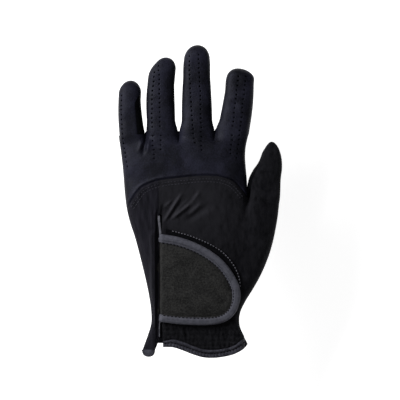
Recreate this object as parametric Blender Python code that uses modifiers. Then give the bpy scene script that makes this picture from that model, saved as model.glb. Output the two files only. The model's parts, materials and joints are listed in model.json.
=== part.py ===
"""Left-hand golf glove, in metres, +Z up.

The glove lies on its palm with the back of the hand up. Fingers point along +Y and the thumb is on +X.
The origin is on the ground under the middle of the glove. Every panel is a thin curved piece of its own
that stops a small gap short of its neighbours at each seam.
"""

import math

import bmesh
import bpy
from mathutils import Vector

MM = 0.001
NO_SHIFT = Vector((0, 0, 0))

# Cloth and leather, in mm
LEATHER = 0.6
FABRIC = 0.6
ELASTIC = 1.2
TAPE = 1.6
SEAM = 0.15
CURVED_SEAM = 0.4
EDGE_SEAM = 0.35

# The hand bag: its widest level above the ground, and how square its arch is
WIDEST = 4.5
HAND_SQUARE = 3.2
PALM_TURN = 5.0
FINGER_SQUARE = 2.6

# Height of the bag along the hand, as (y, height)
HAND_HEIGHT = [(-124, 10), (-99, 13), (-60, 17), (-20, 18), (20, 16.5), (56, 13.5)]
THUMB_HEIGHT = [(-95, 10), (-60, 15), (-25, 15.5), (3, 13.5)]

# Outline of the hand seen from above, as (y, x)
ULNAR_EDGE = [(-112, -43.5), (-99, -39), (-85, -39.2), (-66, -42.6), (-42, -48.4), (-28, -52.2), (-13.4, -57),
              (1, -59.6), (11, -60.4), (30, -62), (56, -65.4)]
RADIAL_EDGE = [(-112, 36.8), (-104, 34), (-95, 30.4), (-88, 32), (-80, 36), (-66, 45), (-52, 51.8),
               (-37, 57.2), (-18, 61), (3, 63.2)]
HAND_SIDE = [(-112, 36.8), (-104, 34), (-95, 30.4), (-80, 34), (-50, 40), (-25, 40), (3, 38), (15, 37.6),
             (40, 36), (56, 39.4)]
THUMB_BASE_HALF = [(-95, 6), (-60, 12), (-25, 15), (3, 12.4)]
VALLEY_BLEND = 4.0
THUMB_ROOT_Y = 4.0
ROOT_START, ROOT_FULL = 28.0, 55.0
ROOT_OVERLAP = 1.2
SIDE_TURN_START, SIDE_TURN_FULL = 3.0, 12.0

# Slit on the back of the hand, the curved knuckle seam, and the line where the thumb starts
SLIT_X = -32.8
SLIT_TOP = -11.5
SLIT_TAPE = 1.7
TAPE_EDGE = SLIT_X + 3 * SEAM + SLIT_TAPE
SIDE_SEAM_TOP = 16.0
KNUCKLE_SEAM = [(-56.8, -5.4), (-47.2, 9), (SLIT_X, SIDE_SEAM_TOP), (-14.4, 18.6), (6.4, 20.2), (22.4, 17.8),
                (32, 11), (37.6, 3.2)]
KNUCKLE_SPLIT = 2
THUMB_LINE = [(38.4, 3.0), (63.0, -1.8)]
FINGER_LINE = [(-65.2, 52.2), (-43.3, 53.1), (-42.7, 55.7), (12.2, 55.7), (13.0, 57.5), (39.0, 53.9)]

# Rows of the back panel in all and beside the slit, and how much of its upper edge is the curved seam
BACK_ROWS, SLIT_ROWS = 14, 11
ARC_SHARE = 0.78

# Rows of the palm in all, up to the thumb, and across the thumb
PALM_ROWS, WRIST_ROWS, THUMB_ROWS = 16, 10, 1

# Wrist: lower edge of the stretch back, hem curve and hem width, tail of the side panel
BACK_BOTTOM = -96.0
WRIST_Y = -102.0
HEM = [(-29.4, -109.6), (-17.6, -110.4), (-8, -114.2), (4, -118), (16, -117.8), (28, -114.4), (35.4, -108.8)]
HEM_WIDTH = 6.6
HEM_RAISE = 0.2
PALM_BOTTOM = -109.0
PALM_HEM_WIDTH = 4.0
TAIL_START = -112.0
TAIL_OUTER = [(-46.2, -119.4), (-43.5, TAIL_START)]
TAIL_INNER = [(-36.2, -119.4), (-33.4, TAIL_START), (SLIT_X - SEAM, -104)]
TAIL_OUTER_SHARE, TAIL_INNER_SHARE = 0.1, 0.16
TAIL_TOP = [(-46.2, -119.7), (-36.2, -119.7)]
TAIL_TIP = [(-46.1, -120.4), (-43.8, -123.9), (-38.6, -123.4), (-36.3, -120.4)]

# Closing tab and the loop pad under it: outline from the top left round to the bottom left
TAB_OUTLINE = [(-32.2, -25.8), (-16, -28.6), (2.4, -35.8), (18.4, -47), (28.8, -61.4), (32.3, -73.4),
               (29.6, -86.2), (22.4, -94.6), (10.4, -98.2), (-12, -98.2), (-32.2, -96)]
LOOP_OUTLINE = [(-27.2, -22.8), (-6, -28.6), (16.4, -39.8), (28.6, -55), (31.6, -70), (28.4, -83), (20, -91),
                (8, -94.4), (-12, -94.6), (-27.2, -93)]
D_TOP, D_BOTTOM = 0.24, 0.74
TAB_OVERHANG = 9.0
TAB_TAPE_WIDTH = 4.0
TAB_TAPE_RAISE = 0.4
TAB_FELT = 0.8
PAD = 0.5
LOOP_LIFT = 1.0
HOOK_LIFT = 1.9
TAB_LIFT = 2.8
HINGE_X = -32.6
HOOK_SHRINK = 7.5
HOOK_LEFT = -18.8
HINGE_CLEARANCE = 0.6
ANCHOR_DEPTH = 2.0
ANCHOR_WIDTH = 3.2

# Digits: centre of the base line, lean (x per y), length past the base line, width at the base and before the
# tip, sideways drift of the very tip, length of the rounded tip, and angle of the seam above a side strip
FINGER_HEIGHT, TIP_HEIGHT = 13.0, 11.5
FINGERS = {
    "little": dict(x=-54.3, y=53, lean=-0.045, length=43.5, wide=20.2, narrow=17.8, drift=0.6, dome=8, up=50),
    "ring": dict(x=-30.9, y=56, lean=-0.015, length=58.9, wide=23.4, narrow=20.4, drift=4.2, dome=8, up=22),
    "middle": dict(x=-2.3, y=56, lean=-0.014, length=68.8, wide=25.4, narrow=20.8, drift=1.2, dome=8, up=22),
    "index": dict(x=26.6, y=56, lean=0.14, length=50.4, wide=25.4, narrow=22.4, drift=-1.5, dome=7, up=22),
}
THUMB = dict(x=50.9, y=0.6, lean=0.193, length=47.4, wide=25, narrow=18.8, drift=-2.2, dome=24, up=44)

# Web between the thumb and the index finger: how far it stands out of the thumb's left side, as (along, out)
THUMB_WEB = [(0, 0), (0.1, 1.0), (0.2, 2.7), (0.3, 5.0), (0.42, 4.8), (0.525, 3.5), (0.63, 1.3), (0.73, 0.3),
             (0.8, 0)]

# Side strips of a digit: angle of their lower edge, width of a seam, and where they narrow and end
SIDE_DOWN = -25.0
SIDE_GAP = 6.5
SIDE_TAPER, SIDE_STOP, SIDE_END = 0.56, 0.73, 0.86

# Cross sections of a rounded tip, as angles round the dome
TIP_ROWS = (12, 24, 37, 60)


# ---------------------------------------------------------------- helpers

def clear_scene():
    for obj in list(bpy.data.objects):
        bpy.data.objects.remove(obj, do_unlink=True)


def material(name, colour, roughness, metallic=0.0):
    made = bpy.data.materials.new(name)
    made.use_nodes = True
    shader = made.node_tree.nodes["Principled BSDF"]
    shader.inputs["Base Color"].default_value = (*colour, 1.0)
    shader.inputs["Roughness"].default_value = roughness
    shader.inputs["Metallic"].default_value = metallic
    return made


def blend(low, high, share):
    return low + (high - low) * share


def smooth_step(low, high, value):
    share = min(max((value - low) / (high - low), 0.0), 1.0)
    return share * share * (3 - 2 * share)


def hermite(knots, values, at):
    """Smooth curve through values at the given knots."""
    at = min(max(at, knots[0]), knots[-1])
    last = len(knots) - 1
    step = next(i for i in range(last) if at <= knots[i + 1])
    slopes = []
    for i in (step, step + 1):
        before, after = max(i - 1, 0), min(i + 1, last)
        slopes.append((values[after] - values[before]) / (knots[after] - knots[before]))
    span = knots[step + 1] - knots[step]
    t = (at - knots[step]) / span
    rise = slopes[0] * span * (t - 2 * t * t + t ** 3) + slopes[1] * span * (t ** 3 - t * t)
    return blend(values[step], values[step + 1], 3 * t * t - 2 * t ** 3) + rise


def profile(pairs, at):
    return hermite([p[0] for p in pairs], [p[1] for p in pairs], at)


def path(points):
    """A smooth plan curve through the points, as a function of 0 to 1 along it."""
    knots = [0.0]
    for a, b in zip(points, points[1:]):
        knots.append(knots[-1] + math.dist(a, b))

    def at(t):
        along = t * knots[-1]
        return Vector([hermite(knots, [p[axis] for p in points], along) for axis in (0, 1)])

    return at


def polyline(points):
    """Straight pieces through the points, as a function of 0 to 1 along it."""
    knots = [0.0]
    for a, b in zip(points, points[1:]):
        knots.append(knots[-1] + math.dist(a, b))

    def at(t):
        along = t * knots[-1]
        i = next((i for i in range(len(points) - 2) if along <= knots[i + 1]), len(points) - 2)
        return Vector(points[i]).lerp(Vector(points[i + 1]), (along - knots[i]) / (knots[i + 1] - knots[i]))

    return at


def joined(first, second, share):
    """Two plan curves in a row; the first one takes the given share."""
    return lambda t: first(t / share) if t <= share else second((t - share) / (1 - share))


def part_of(curve, start, end):
    return lambda t: curve(blend(start, end, t))


def offset(curve, inward):
    """The plan curve moved to its right-hand side as it runs."""
    def at(t):
        ahead = curve(min(t + 0.004, 1.0)) - curve(max(t - 0.004, 0.0))
        ahead.normalize()
        return curve(t) + Vector((ahead.y, -ahead.x)) * inward

    return at


def coons(left, right, bottom, top):
    """Plan position inside four border curves."""
    def at(u, v):
        sides = left(v) * (1 - u) + right(v) * u
        ends = bottom(u) * (1 - v) + top(u) * v
        corners = (bottom(0) * (1 - u) + bottom(1) * u) * (1 - v) + (top(0) * (1 - u) + top(1) * u) * v
        return sides + ends - corners

    return at


def rectangle(x_low, x_high, y_low, y_high):
    return lambda u, v: Vector((blend(x_low, x_high, u), blend(y_low, y_high, v)))


def band(inner, outer):
    """Plan patch between two curves that run side by side."""
    return lambda u, v: inner(u).lerp(outer(u), v)


def even(t):
    return t


def dense_start(t):
    return t * t


def dense_end(t):
    return 1 - (1 - t) ** 2


def dense_both(t):
    return 0.5 - 0.5 * math.cos(math.pi * t)


# ---------------------------------------------------------------- height of the bag

def arch(across, half, square):
    reach = min(abs(across) / half, 1.0)
    return (1 - reach ** square) ** (1 / square)


def smooth_max(a, b, k):
    overlap = max(k - abs(a - b), 0.0) / k
    return max(a, b) + overlap * overlap * k / 4


def knuckle_rise(x, y):
    """Share of full arch of the four finger roots side by side."""
    rise = 0.0
    for finger in FINGERS.values():
        centre = finger["x"] + finger["lean"] * (y - finger["y"])
        rise = max(rise, arch(x - centre, finger["wide"] / 2 + ROOT_OVERLAP, FINGER_SQUARE))
    return rise


def top_height(x, y):
    """Outer surface of the back of the hand."""
    left, right = profile(ULNAR_EDGE, y), profile(HAND_SIDE, y)
    middle, half = (left + right) / 2, (right - left) / 2
    full = profile(HAND_HEIGHT, y)
    height = WIDEST + (full - WIDEST) * arch(x - middle, half, HAND_SQUARE)
    roots = WIDEST + (FINGER_HEIGHT - WIDEST) * knuckle_rise(x, y)
    height = blend(height, min(height, roots), smooth_step(ROOT_START, ROOT_FULL, y))
    if y > THUMB_ROOT_Y:
        return height
    edge, reach = profile(RADIAL_EDGE, y), profile(THUMB_BASE_HALF, y)
    thumb = WIDEST + (profile(THUMB_HEIGHT, y) - WIDEST) * arch(x - (edge - reach), reach, FINGER_SQUARE)
    if min(height, thumb) <= WIDEST:
        return max(height, thumb)
    return smooth_max(height, thumb, VALLEY_BLEND)


def bottom_height(x, y):
    """Outer surface of the palm: flat on the ground, turned up at the outline."""
    left = edge_turn(x - profile(ULNAR_EDGE, y))
    if y <= THUMB_LINE[0][1]:
        right = edge_turn(profile(RADIAL_EDGE, y) - x)
    else:
        right = edge_turn(profile(HAND_SIDE, y) - x) * smooth_step(SIDE_TURN_START, SIDE_TURN_FULL, y)
    return WIDEST * max(left, right)


def edge_turn(inset):
    """1 at the outline, falling to 0 along a quarter circle."""
    share = min(max(inset / PALM_TURN, 0.0), 1.0)
    return 1 - math.sqrt(1 - (1 - share) ** 2)


# ---------------------------------------------------------------- building a panel

def grid_mesh(name, rows, flip, pivot):
    """Mesh over rows of points; a row given as one point closes the grid to a tip."""
    mesh = bpy.data.meshes.new(name)
    bm = bmesh.new()
    made = [[bm.verts.new((p - pivot) * MM) for p in row] for row in rows]
    for low, high in zip(made, made[1:]):
        for i in range(len(low) - 1):
            if len(high) == 1:
                corners = [low[i], low[i + 1], high[0]]
            else:
                corners = [low[i], low[i + 1], high[i + 1], high[i]]
            bm.faces.new(corners[::-1] if flip else corners)
    bm.to_mesh(mesh)
    bm.free()
    return mesh


def panel(name, rows, thickness, look, flip=False, pivot=NO_SHIFT):
    """A closed thin piece whose outer skin passes through the rows."""
    obj = bpy.data.objects.new(name, grid_mesh(name, rows, flip, pivot))
    obj.location = pivot * MM
    obj.data.materials.append(look)
    for face in obj.data.polygons:
        face.use_smooth = True
    wall = obj.modifiers.new("thickness", "SOLIDIFY")
    wall.thickness = thickness * MM
    wall.offset = -1.0
    glove.objects.link(obj)
    return obj


def draped(plan, height, columns, rows, spread_u=even, spread_v=even):
    """Rows of points of a plan patch lifted to a height field."""
    out = []
    for j in range(rows + 1):
        row = []
        for i in range(columns + 1):
            spot = plan(spread_u(i / columns), spread_v(j / rows))
            row.append(Vector((spot.x, spot.y, height(spot.x, spot.y))))
        out.append(row)
    return out


def above_seam(x, y):
    return max(top_height(x, y), WIDEST + EDGE_SEAM)


def below_seam(x, y):
    return min(bottom_height(x, y), WIDEST - EDGE_SEAM)


# ---------------------------------------------------------------- hand panels

def edge_path(pairs, low, high):
    """Part of an outline between two values of y, as a plan curve."""
    return lambda t: Vector((profile(pairs, blend(low, high, t)), blend(low, high, t)))


def knuckle_panel(look):
    seam = offset(path(KNUCKLE_SEAM), -CURVED_SEAM)
    left = edge_path(ULNAR_EDGE, seam(0).y, FINGER_LINE[0][1])
    right = edge_path(HAND_SIDE, seam(1).y, FINGER_LINE[-1][1])
    plan = coons(left, right, seam, polyline(FINGER_LINE))
    panel("knuckle_leather", draped(plan, above_seam, 24, 7, dense_both), LEATHER, look)


def side_panel(look):
    seam = offset(part_of(path(KNUCKLE_SEAM), 0.0, knuckle_share()), CURVED_SEAM)
    left = joined(path(TAIL_OUTER), edge_path(ULNAR_EDGE, TAIL_START, seam(0).y), TAIL_OUTER_SHARE)
    slit_edge = path([TAIL_INNER[-1], (SLIT_X - SEAM, seam(1).y)])
    right = joined(path(TAIL_INNER), slit_edge, TAIL_INNER_SHARE)
    bottom = path([TAIL_OUTER[0], TAIL_INNER[0]])
    plan = coons(left, right, bottom, seam)
    panel("side_panel", draped(plan, above_seam, 6, 16, dense_start), FABRIC, look)


def knuckle_share():
    """How far along the knuckle seam the side seam meets it."""
    lengths = [math.dist(a, b) for a, b in zip(KNUCKLE_SEAM, KNUCKLE_SEAM[1:])]
    return sum(lengths[:KNUCKLE_SPLIT]) / sum(lengths)


def back_panel(look):
    arc = offset(part_of(path(KNUCKLE_SEAM), knuckle_share(), 1.0), CURVED_SEAM)
    thumb = offset(path(THUMB_LINE), SEAM)
    top = joined(arc, thumb, ARC_SHARE)
    seam_edge = SLIT_X + SEAM
    corner = (TAPE_EDGE, SLIT_TOP + CURVED_SEAM)
    high = path([corner, (seam_edge, corner[1] + SLIT_TAPE), (seam_edge, arc(0).y)])
    left = joined(path([(TAPE_EDGE, BACK_BOTTOM), corner]), high, SLIT_ROWS / BACK_ROWS)
    right = edge_path(RADIAL_EDGE, BACK_BOTTOM, thumb(1).y)
    bottom = path([(TAPE_EDGE, BACK_BOTTOM), tuple(right(0))])
    plan = coons(left, right, bottom, top)
    panel("back_panel", draped(plan, above_seam, 18, BACK_ROWS, dense_end), FABRIC, look)


def palm_panel(look):
    left = edge_path(ULNAR_EDGE, PALM_BOTTOM, FINGER_LINE[0][1])
    across = offset(path(THUMB_LINE[::-1]), -SEAM)
    wrist = edge_path(RADIAL_EDGE, PALM_BOTTOM, across(0).y)
    upper = edge_path(HAND_SIDE, across(1).y + SEAM, FINGER_LINE[-1][1])
    above_wrist = joined(across, upper, THUMB_ROWS / (PALM_ROWS - WRIST_ROWS))
    right = joined(wrist, above_wrist, WRIST_ROWS / PALM_ROWS)
    low = path([tuple(left(0)), tuple(wrist(0))])
    plan = coons(left, right, low, polyline(FINGER_LINE))
    panel("palm_leather", draped(plan, below_seam, 18, PALM_ROWS, dense_both), LEATHER, look, flip=True)


def wrist_elastic(look):
    top_y = BACK_BOTTOM - 2 * SEAM
    left = path([(TAPE_EDGE, HEM[0][1] + CURVED_SEAM), (TAPE_EDGE, top_y)])
    right = path([(HEM[-1][0], HEM[-1][1] + CURVED_SEAM), (profile(RADIAL_EDGE, WRIST_Y), WRIST_Y),
                  (profile(RADIAL_EDGE, top_y), top_y)])
    bottom = offset(path([(TAPE_EDGE, HEM[0][1])] + HEM[1:]), -CURVED_SEAM)
    top = path([(TAPE_EDGE, top_y), tuple(right(1))])
    plan = coons(left, right, bottom, top)
    panel("wrist_elastic", draped(plan, above_seam, 12, 3, dense_end), ELASTIC, look)


def cuff_bindings(look):
    """Tape round the wrist opening, one piece on the back and one on the palm."""
    lowest = WIDEST + TAPE + EDGE_SEAM

    def over_wrist(x, y):
        return max(top_height(x, y), lowest) + HEM_RAISE

    back = band(offset(path(HEM), HEM_WIDTH), offset(path(HEM), CURVED_SEAM))
    panel("cuff_binding_back", draped(back, over_wrist, 16, 3), TAPE, look)
    upper = PALM_BOTTOM - 2 * SEAM
    palm = rectangle(profile(ULNAR_EDGE, upper), profile(RADIAL_EDGE, upper), upper - PALM_HEM_WIDTH, upper)
    panel("cuff_binding_palm", draped(palm, below_seam, 14, 2, dense_both), TAPE, look, flip=True)


def slit_binding(look):
    left = SLIT_X + 2 * SEAM
    strip = rectangle(left, left + SLIT_TAPE, HEM[0][1], SLIT_TOP)
    panel("slit_binding", draped(strip, above_seam, 2, 14), TAPE, look)


def tail_binding(look):
    end = band(path(TAIL_TIP), path([TAIL_TOP[0], TAIL_TOP[1]]))
    panel("tail_binding", draped(end, above_seam, 6, 2), TAPE, look)


# ---------------------------------------------------------------- closing tab

def lifted(by):
    """Height above the back of the hand; near the thumb edge the stiff tab runs straight out."""
    return lambda x, y: top_height(min(x, profile(RADIAL_EDGE, y) - TAB_OVERHANG), y) + by


def d_patch(outline, left_x):
    """Plan patch inside a D outline that runs from its top left round to its bottom left."""
    def clipped(t):
        spot = outline(t)
        return Vector((max(spot.x, left_x), spot.y))

    top = part_of(clipped, 0.0, D_TOP)
    right = part_of(clipped, D_BOTTOM, D_TOP)
    bottom = part_of(clipped, 1.0, D_BOTTOM)
    left = path([(left_x, clipped(1).y), (left_x, clipped(0).y)])
    return coons(left, right, bottom, top)


def tab_pieces(looks, pivot):
    outline = path(TAB_OUTLINE)
    felt = d_patch(offset(outline, TAB_TAPE_WIDTH + 2 * CURVED_SEAM), HINGE_X + 2 * SEAM)
    felt_top = lifted(TAB_LIFT + TAB_FELT)
    panel("closure_tab", draped(felt, felt_top, 10, 10), TAB_FELT, looks["felt"], pivot=pivot)
    edge = band(offset(outline, TAB_TAPE_WIDTH), outline)
    tape_top = lifted(TAB_LIFT + TAB_FELT + TAB_TAPE_RAISE)
    panel("tab_binding", draped(edge, tape_top, 28, 2), TAPE, looks["tab tape"], pivot=pivot)
    hook = d_patch(offset(outline, HOOK_SHRINK), HOOK_LEFT)
    panel("hook_pad", draped(hook, lifted(HOOK_LIFT + PAD), 7, 7), PAD, looks["hook"], pivot=pivot)


def tab_seat(looks):
    """The loop pad under the tab and the sewn root of the tab under the side panel."""
    loop = d_patch(path(LOOP_OUTLINE), LOOP_OUTLINE[0][0])
    panel("loop_pad", draped(loop, lifted(LOOP_LIFT + PAD), 9, 9), PAD, looks["loop"])
    top, bottom = TAB_OUTLINE[0][1] - ANCHOR_WIDTH, TAB_OUTLINE[-1][1] + 2 * ANCHOR_WIDTH
    right = SLIT_X - 2 * SEAM
    root = rectangle(right - ANCHOR_WIDTH, right, bottom, top)
    panel("tab_anchor", draped(root, lifted(-ANCHOR_DEPTH), 2, 10), TAB_FELT, looks["felt"])


def tab_hinge():
    """The middle of the straight hinge line over the slit, clear above the tab, and the line's direction."""
    top, bottom = TAB_OUTLINE[0][1], TAB_OUTLINE[-1][1]
    level = TAB_LIFT + TAB_FELT + HINGE_CLEARANCE
    high = top_height(HINGE_X, top) + level
    low = top_height(HINGE_X, bottom) + level
    shares = [i / 20 for i in range(21)]
    heights = [top_height(HINGE_X, blend(bottom, top, share)) + level for share in shares]
    bulge = max(height - blend(low, high, share) for share, height in zip(shares, heights))
    middle = Vector((HINGE_X, (top + bottom) / 2, (high + low) / 2 + bulge))
    line = Vector((0, bottom - top, low - high)).normalized()
    return middle, line


# ---------------------------------------------------------------- fingers and thumb

def cap_start(digit):
    """Share of a digit's length where its rounded tip begins."""
    return 1 - digit["dome"] / digit["length"]


def tube_point(digit, angle, along):
    """A point on the skin of a digit: angle in degrees round it from its right side, along 0 to 1."""
    cap = cap_start(digit)
    closing = math.sqrt(max(1 - (max(along - cap, 0.0) / (1 - cap)) ** 2, 0.0))
    share = smooth_step(0, cap, along)
    half = blend(digit["wide"], digit["narrow"], share) / 2 * closing
    full = blend(FINGER_HEIGHT, TIP_HEIGHT, share)
    turn = math.radians(angle)
    power = 2 / FINGER_SQUARE
    out = math.copysign(abs(math.cos(turn)) ** power, math.cos(turn)) * half
    rise = abs(math.sin(turn)) ** power * closing
    level = WIDEST + (full - WIDEST) * rise if math.sin(turn) >= 0 else WIDEST * (1 - rise)
    ahead = Vector((digit["lean"], 1)).normalized()
    side = Vector((ahead.y, -ahead.x))
    drift = digit["drift"] * along ** 4
    if digit is THUMB and out < 0:
        out *= 1 + profile(THUMB_WEB, along) / half
    spot = Vector((digit["x"], digit["y"])) + ahead * digit["length"] * along + side * (out + drift)
    return Vector((spot.x, spot.y, level))


def closed_share(along):
    """0 where the side strips are full height, 1 where the back and front of a digit meet each other."""
    return smooth_step(SIDE_TAPER, SIDE_END, along)


def stations(digit):
    """Where the cross sections stand along a digit, closer together round the tip."""
    cap = cap_start(digit)
    straight = [blend(2 * SEAM / digit["length"], cap, i / 4) for i in range(5)]
    return straight + [cap + (1 - cap) * math.sin(math.radians(angle)) for angle in TIP_ROWS]


def digit_half(name, digit, first, last, shift, look, pivot):
    """Upper or lower half of a digit between two edge angles, closed to a point at the tip."""
    rows = []
    for along in stations(digit):
        closed = closed_share(along)
        row = [tube_point(digit, blend(first(closed), last(closed), i / 8), along) for i in range(9)]
        for spot in row:
            spot.z = max(spot.z + shift * closed, 0.0)
        rows.append(row)
    rows.append([tube_point(digit, first(1.0), 1.0) + Vector((0, 0, shift))])
    panel(name, rows, LEATHER, look, flip=True, pivot=pivot)


def ease(open_angle, closed_angle):
    return lambda closed: blend(open_angle, closed_angle, closed)


def side_strip(name, digit, right_side, look, pivot):
    """The narrow strip between the back and the front of a digit, pointed before the tip."""
    rows = []
    for j in range(7):
        along = blend(2 * SEAM / digit["length"], SIDE_STOP, j / 6)
        closed = closed_share(along)
        low, high = SIDE_DOWN * (1 - closed) + SIDE_GAP, digit["up"] * (1 - closed) - SIDE_GAP
        angles = [blend(low, high, i / 3) for i in range(4)]
        if not right_side:
            angles = [180 - angle for angle in reversed(angles)]
        rows.append([tube_point(digit, angle, along) for angle in angles])
    panel(name, rows, FABRIC, look, flip=True, pivot=pivot)


def digit_pieces(name, digit, left_strip, right_strip, looks):
    """Back and front of a digit, and its side strips named by what they face. Origins are on its hinge."""
    pivot = Vector((digit["x"], digit["y"], 0))
    wrapped = SIDE_DOWN + SIDE_GAP
    back_right = ease(digit["up"] if right_strip else wrapped, 0)
    back_left = ease(180 - (digit["up"] if left_strip else wrapped), 180)
    digit_half(name + "_back", digit, back_right, back_left, EDGE_SEAM, looks["leather"], pivot)
    front_left, front_right = ease(180 - SIDE_DOWN, 180), ease(360 + SIDE_DOWN, 360)
    digit_half(name + "_front", digit, front_left, front_right, -EDGE_SEAM, looks["palm leather"], pivot)
    if left_strip:
        side_strip(left_strip, digit, False, looks["strip"], pivot)
    if right_strip:
        side_strip(right_strip, digit, True, looks["strip"], pivot)


def build():
    looks = {
        "leather": material("black leather", (0.017, 0.017, 0.022), 0.55),
        "palm leather": material("palm leather", (0.014, 0.014, 0.018), 0.5),
        "strip": material("stretch side strip", (0.008, 0.008, 0.010), 0.85),
        "back fabric": material("stretch back fabric", (0.012, 0.012, 0.014), 0.8),
        "side fabric": material("side panel fabric", (0.017, 0.016, 0.022), 0.75),
        "elastic": material("shirred elastic", (0.006, 0.006, 0.007), 0.9),
        "hem tape": material("hem tape", (0.020, 0.020, 0.024), 0.6),
        "slit tape": material("slit tape", (0.080, 0.080, 0.090), 0.6),
        "tab tape": material("grey tab tape", (0.085, 0.085, 0.098), 0.6),
        "felt": material("tab felt", (0.019, 0.019, 0.018), 0.95),
        "loop": material("loop pile", (0.010, 0.010, 0.011), 1.0),
        "hook": material("hook tape", (0.012, 0.012, 0.013), 0.6),
    }
    knuckle_panel(looks["leather"])
    side_panel(looks["side fabric"])
    back_panel(looks["back fabric"])
    palm_panel(looks["palm leather"])
    wrist_elastic(looks["elastic"])
    cuff_bindings(looks["hem tape"])
    slit_binding(looks["slit tape"])
    tail_binding(looks["hem tape"])
    tab_seat(looks)
    tab_pieces(looks, tab_hinge()[0])
    strips = {
        "little": (None, "fourchette_little_by_ring"),
        "ring": ("fourchette_ring_by_little", "fourchette_ring_by_middle"),
        "middle": ("fourchette_middle_by_ring", "fourchette_middle_by_index"),
        "index": ("fourchette_index_by_middle", None),
    }
    for name, finger in FINGERS.items():
        digit_pieces(name + "_finger", finger, *strips[name], looks)
    digit_pieces("thumb", THUMB, "thumb_gusset", None, looks)


clear_scene()
glove = bpy.data.collections.new("golf_glove")
bpy.context.scene.collection.children.link(glove)
build()
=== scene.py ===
"""Left-hand golf glove: the visual model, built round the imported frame.

Lengths are in mm and become metres when a mesh is made. The back of the hand is up, the fingers point along
+Y and the thumb is on +X. Outlines, levels and hinges are measured on the CAD nodes; the rest is shape and
finish.
"""

import json
import math
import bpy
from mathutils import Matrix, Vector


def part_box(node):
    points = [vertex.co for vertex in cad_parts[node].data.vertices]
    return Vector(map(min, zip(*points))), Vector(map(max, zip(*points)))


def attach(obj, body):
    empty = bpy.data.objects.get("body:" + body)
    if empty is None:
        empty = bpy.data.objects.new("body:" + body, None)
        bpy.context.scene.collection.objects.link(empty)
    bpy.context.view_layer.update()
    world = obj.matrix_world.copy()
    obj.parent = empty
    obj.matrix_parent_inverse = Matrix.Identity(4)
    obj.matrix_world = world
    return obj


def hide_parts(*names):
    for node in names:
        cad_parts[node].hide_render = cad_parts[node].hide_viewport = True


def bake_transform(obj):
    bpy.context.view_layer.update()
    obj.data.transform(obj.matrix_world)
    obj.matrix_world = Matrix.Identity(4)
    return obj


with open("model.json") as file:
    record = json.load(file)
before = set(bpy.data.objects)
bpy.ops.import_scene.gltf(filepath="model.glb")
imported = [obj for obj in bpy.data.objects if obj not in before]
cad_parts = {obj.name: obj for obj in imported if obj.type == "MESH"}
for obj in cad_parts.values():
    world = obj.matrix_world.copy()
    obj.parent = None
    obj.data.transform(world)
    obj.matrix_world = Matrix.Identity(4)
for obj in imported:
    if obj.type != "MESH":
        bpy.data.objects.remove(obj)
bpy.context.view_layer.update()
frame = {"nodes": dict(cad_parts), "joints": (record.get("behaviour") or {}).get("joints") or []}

from types import SimpleNamespace

import bmesh
import bpy
import numpy as np
from mathutils import Vector

MM = 0.001

# Cloth and leather thickness
LEATHER = 0.6
FABRIC = 0.6
ELASTIC = 1.1
TAPE = 1.2

# How square the arches of the hand and of a digit are, and how wide the palm's turned-up edge is
HAND_SQUARE = 3.2
DIGIT_SQUARE = 2.6
PALM_TURN = 5.0

# Hand arch under the thumb mound, as (y, x); half width of the mound, as (y, half); where the mound ends
UNDER_THUMB = [(-80, 34.0), (-50, 40.0), (-25, 40.0)]
MOUND_HALF = [(-95, 6.0), (-60, 12.0), (-25, 15.0), (3, 12.4)]
MOUND_TOP_Y = 4.0
VALLEY = 4.0

# Finger roots: where they start to show on the back of the hand, and how far they blend into the fingers
ROOT_START = 44.5
ROOT_BLEND = 10.0
EDGE_ROUND = 8.5

# Each digit. neck: how far from the tip its CAD sleeve is as narrow as it gets. dome: length of the visible
# tip. flare, plump, tip_cut: how far its left and right sides widen into the neighbour at the root (over
# flare_length), bow out half way along, and fall short near the tip. seam_up: upper edge angle of its side
# strips. strips: the nodes of its left and right strips.
SHAPES = {
    # The little finger's right strip reaches up to 72 degrees so its dark knit, partly painted shade, covers
    # the shaded right side seen from above
    "little": dict(neck=8.0, dome=9.5, flare=(0.0, 0.7), flare_length=5.0, plump=(0.9, -0.5),
                   tip_cut=(0.5, 0.5), seam_up=72.0, strips=(None, "fourchette_little_by_ring")),
    "ring": dict(neck=8.0, dome=10.0, flare=(0.8, 1.9), flare_length=5.0, plump=(1.5, 0.5),
                 tip_cut=(2.2, 0.2), seam_up=22.0,
                 strips=("fourchette_ring_by_little", "fourchette_ring_by_middle")),
    "middle": dict(neck=8.0, dome=10.0, flare=(1.9, 1.7), flare_length=5.0, plump=(0.6, 0.7),
                   tip_cut=(0.7, 0.7), seam_up=22.0,
                   strips=("fourchette_middle_by_ring", "fourchette_middle_by_index")),
    "index": dict(neck=7.0, dome=7.5, flare=(1.7, 0.0), flare_length=5.0, plump=(-0.1, 0.9),
                  tip_cut=(1.3, -0.5), seam_up=22.0, strips=("fourchette_index_by_middle", None)),
    "thumb": dict(neck=24.0, dome=24.0, flare=(1.9, 0.0), flare_length=11.0, plump=(0.0, 0.6),
                  tip_cut=(1.2, 0.0), seam_up=44.0, strips=("thumb_gusset", None)),
}
FINGERS = ["little", "ring", "middle", "index"]

# How much lower a digit is at its tip, and the stretch past its hinge over which it bends
TIP_DROP = 1.5

# Where the gusset side of the thumb is measured along it
WEB_STATIONS = (0.1, 0.22, 0.34, 0.46, 0.58, 0.7)

# Side strips: lower edge angle, and where along the digit they start to narrow and end
SIDE_DOWN = -25.0
SIDE_TAPER, SIDE_END = 0.56, 0.86

# How far the strips run under the leather either side of them, in degrees, and lie below it
SEAM_ANGLE = 2.0
STRIP_SINK = 0.25

# Step between the back and the front of a digit where they close on each other
SEAM_STEP = 0.12

# Grid spacing of the leather, and radius and pitch of the holes punched in it
LEATHER_GRID = 0.62
HOLE = 0.7
HOLE_DIP = 0.18
HOLE_PITCH = 3.6

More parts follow.
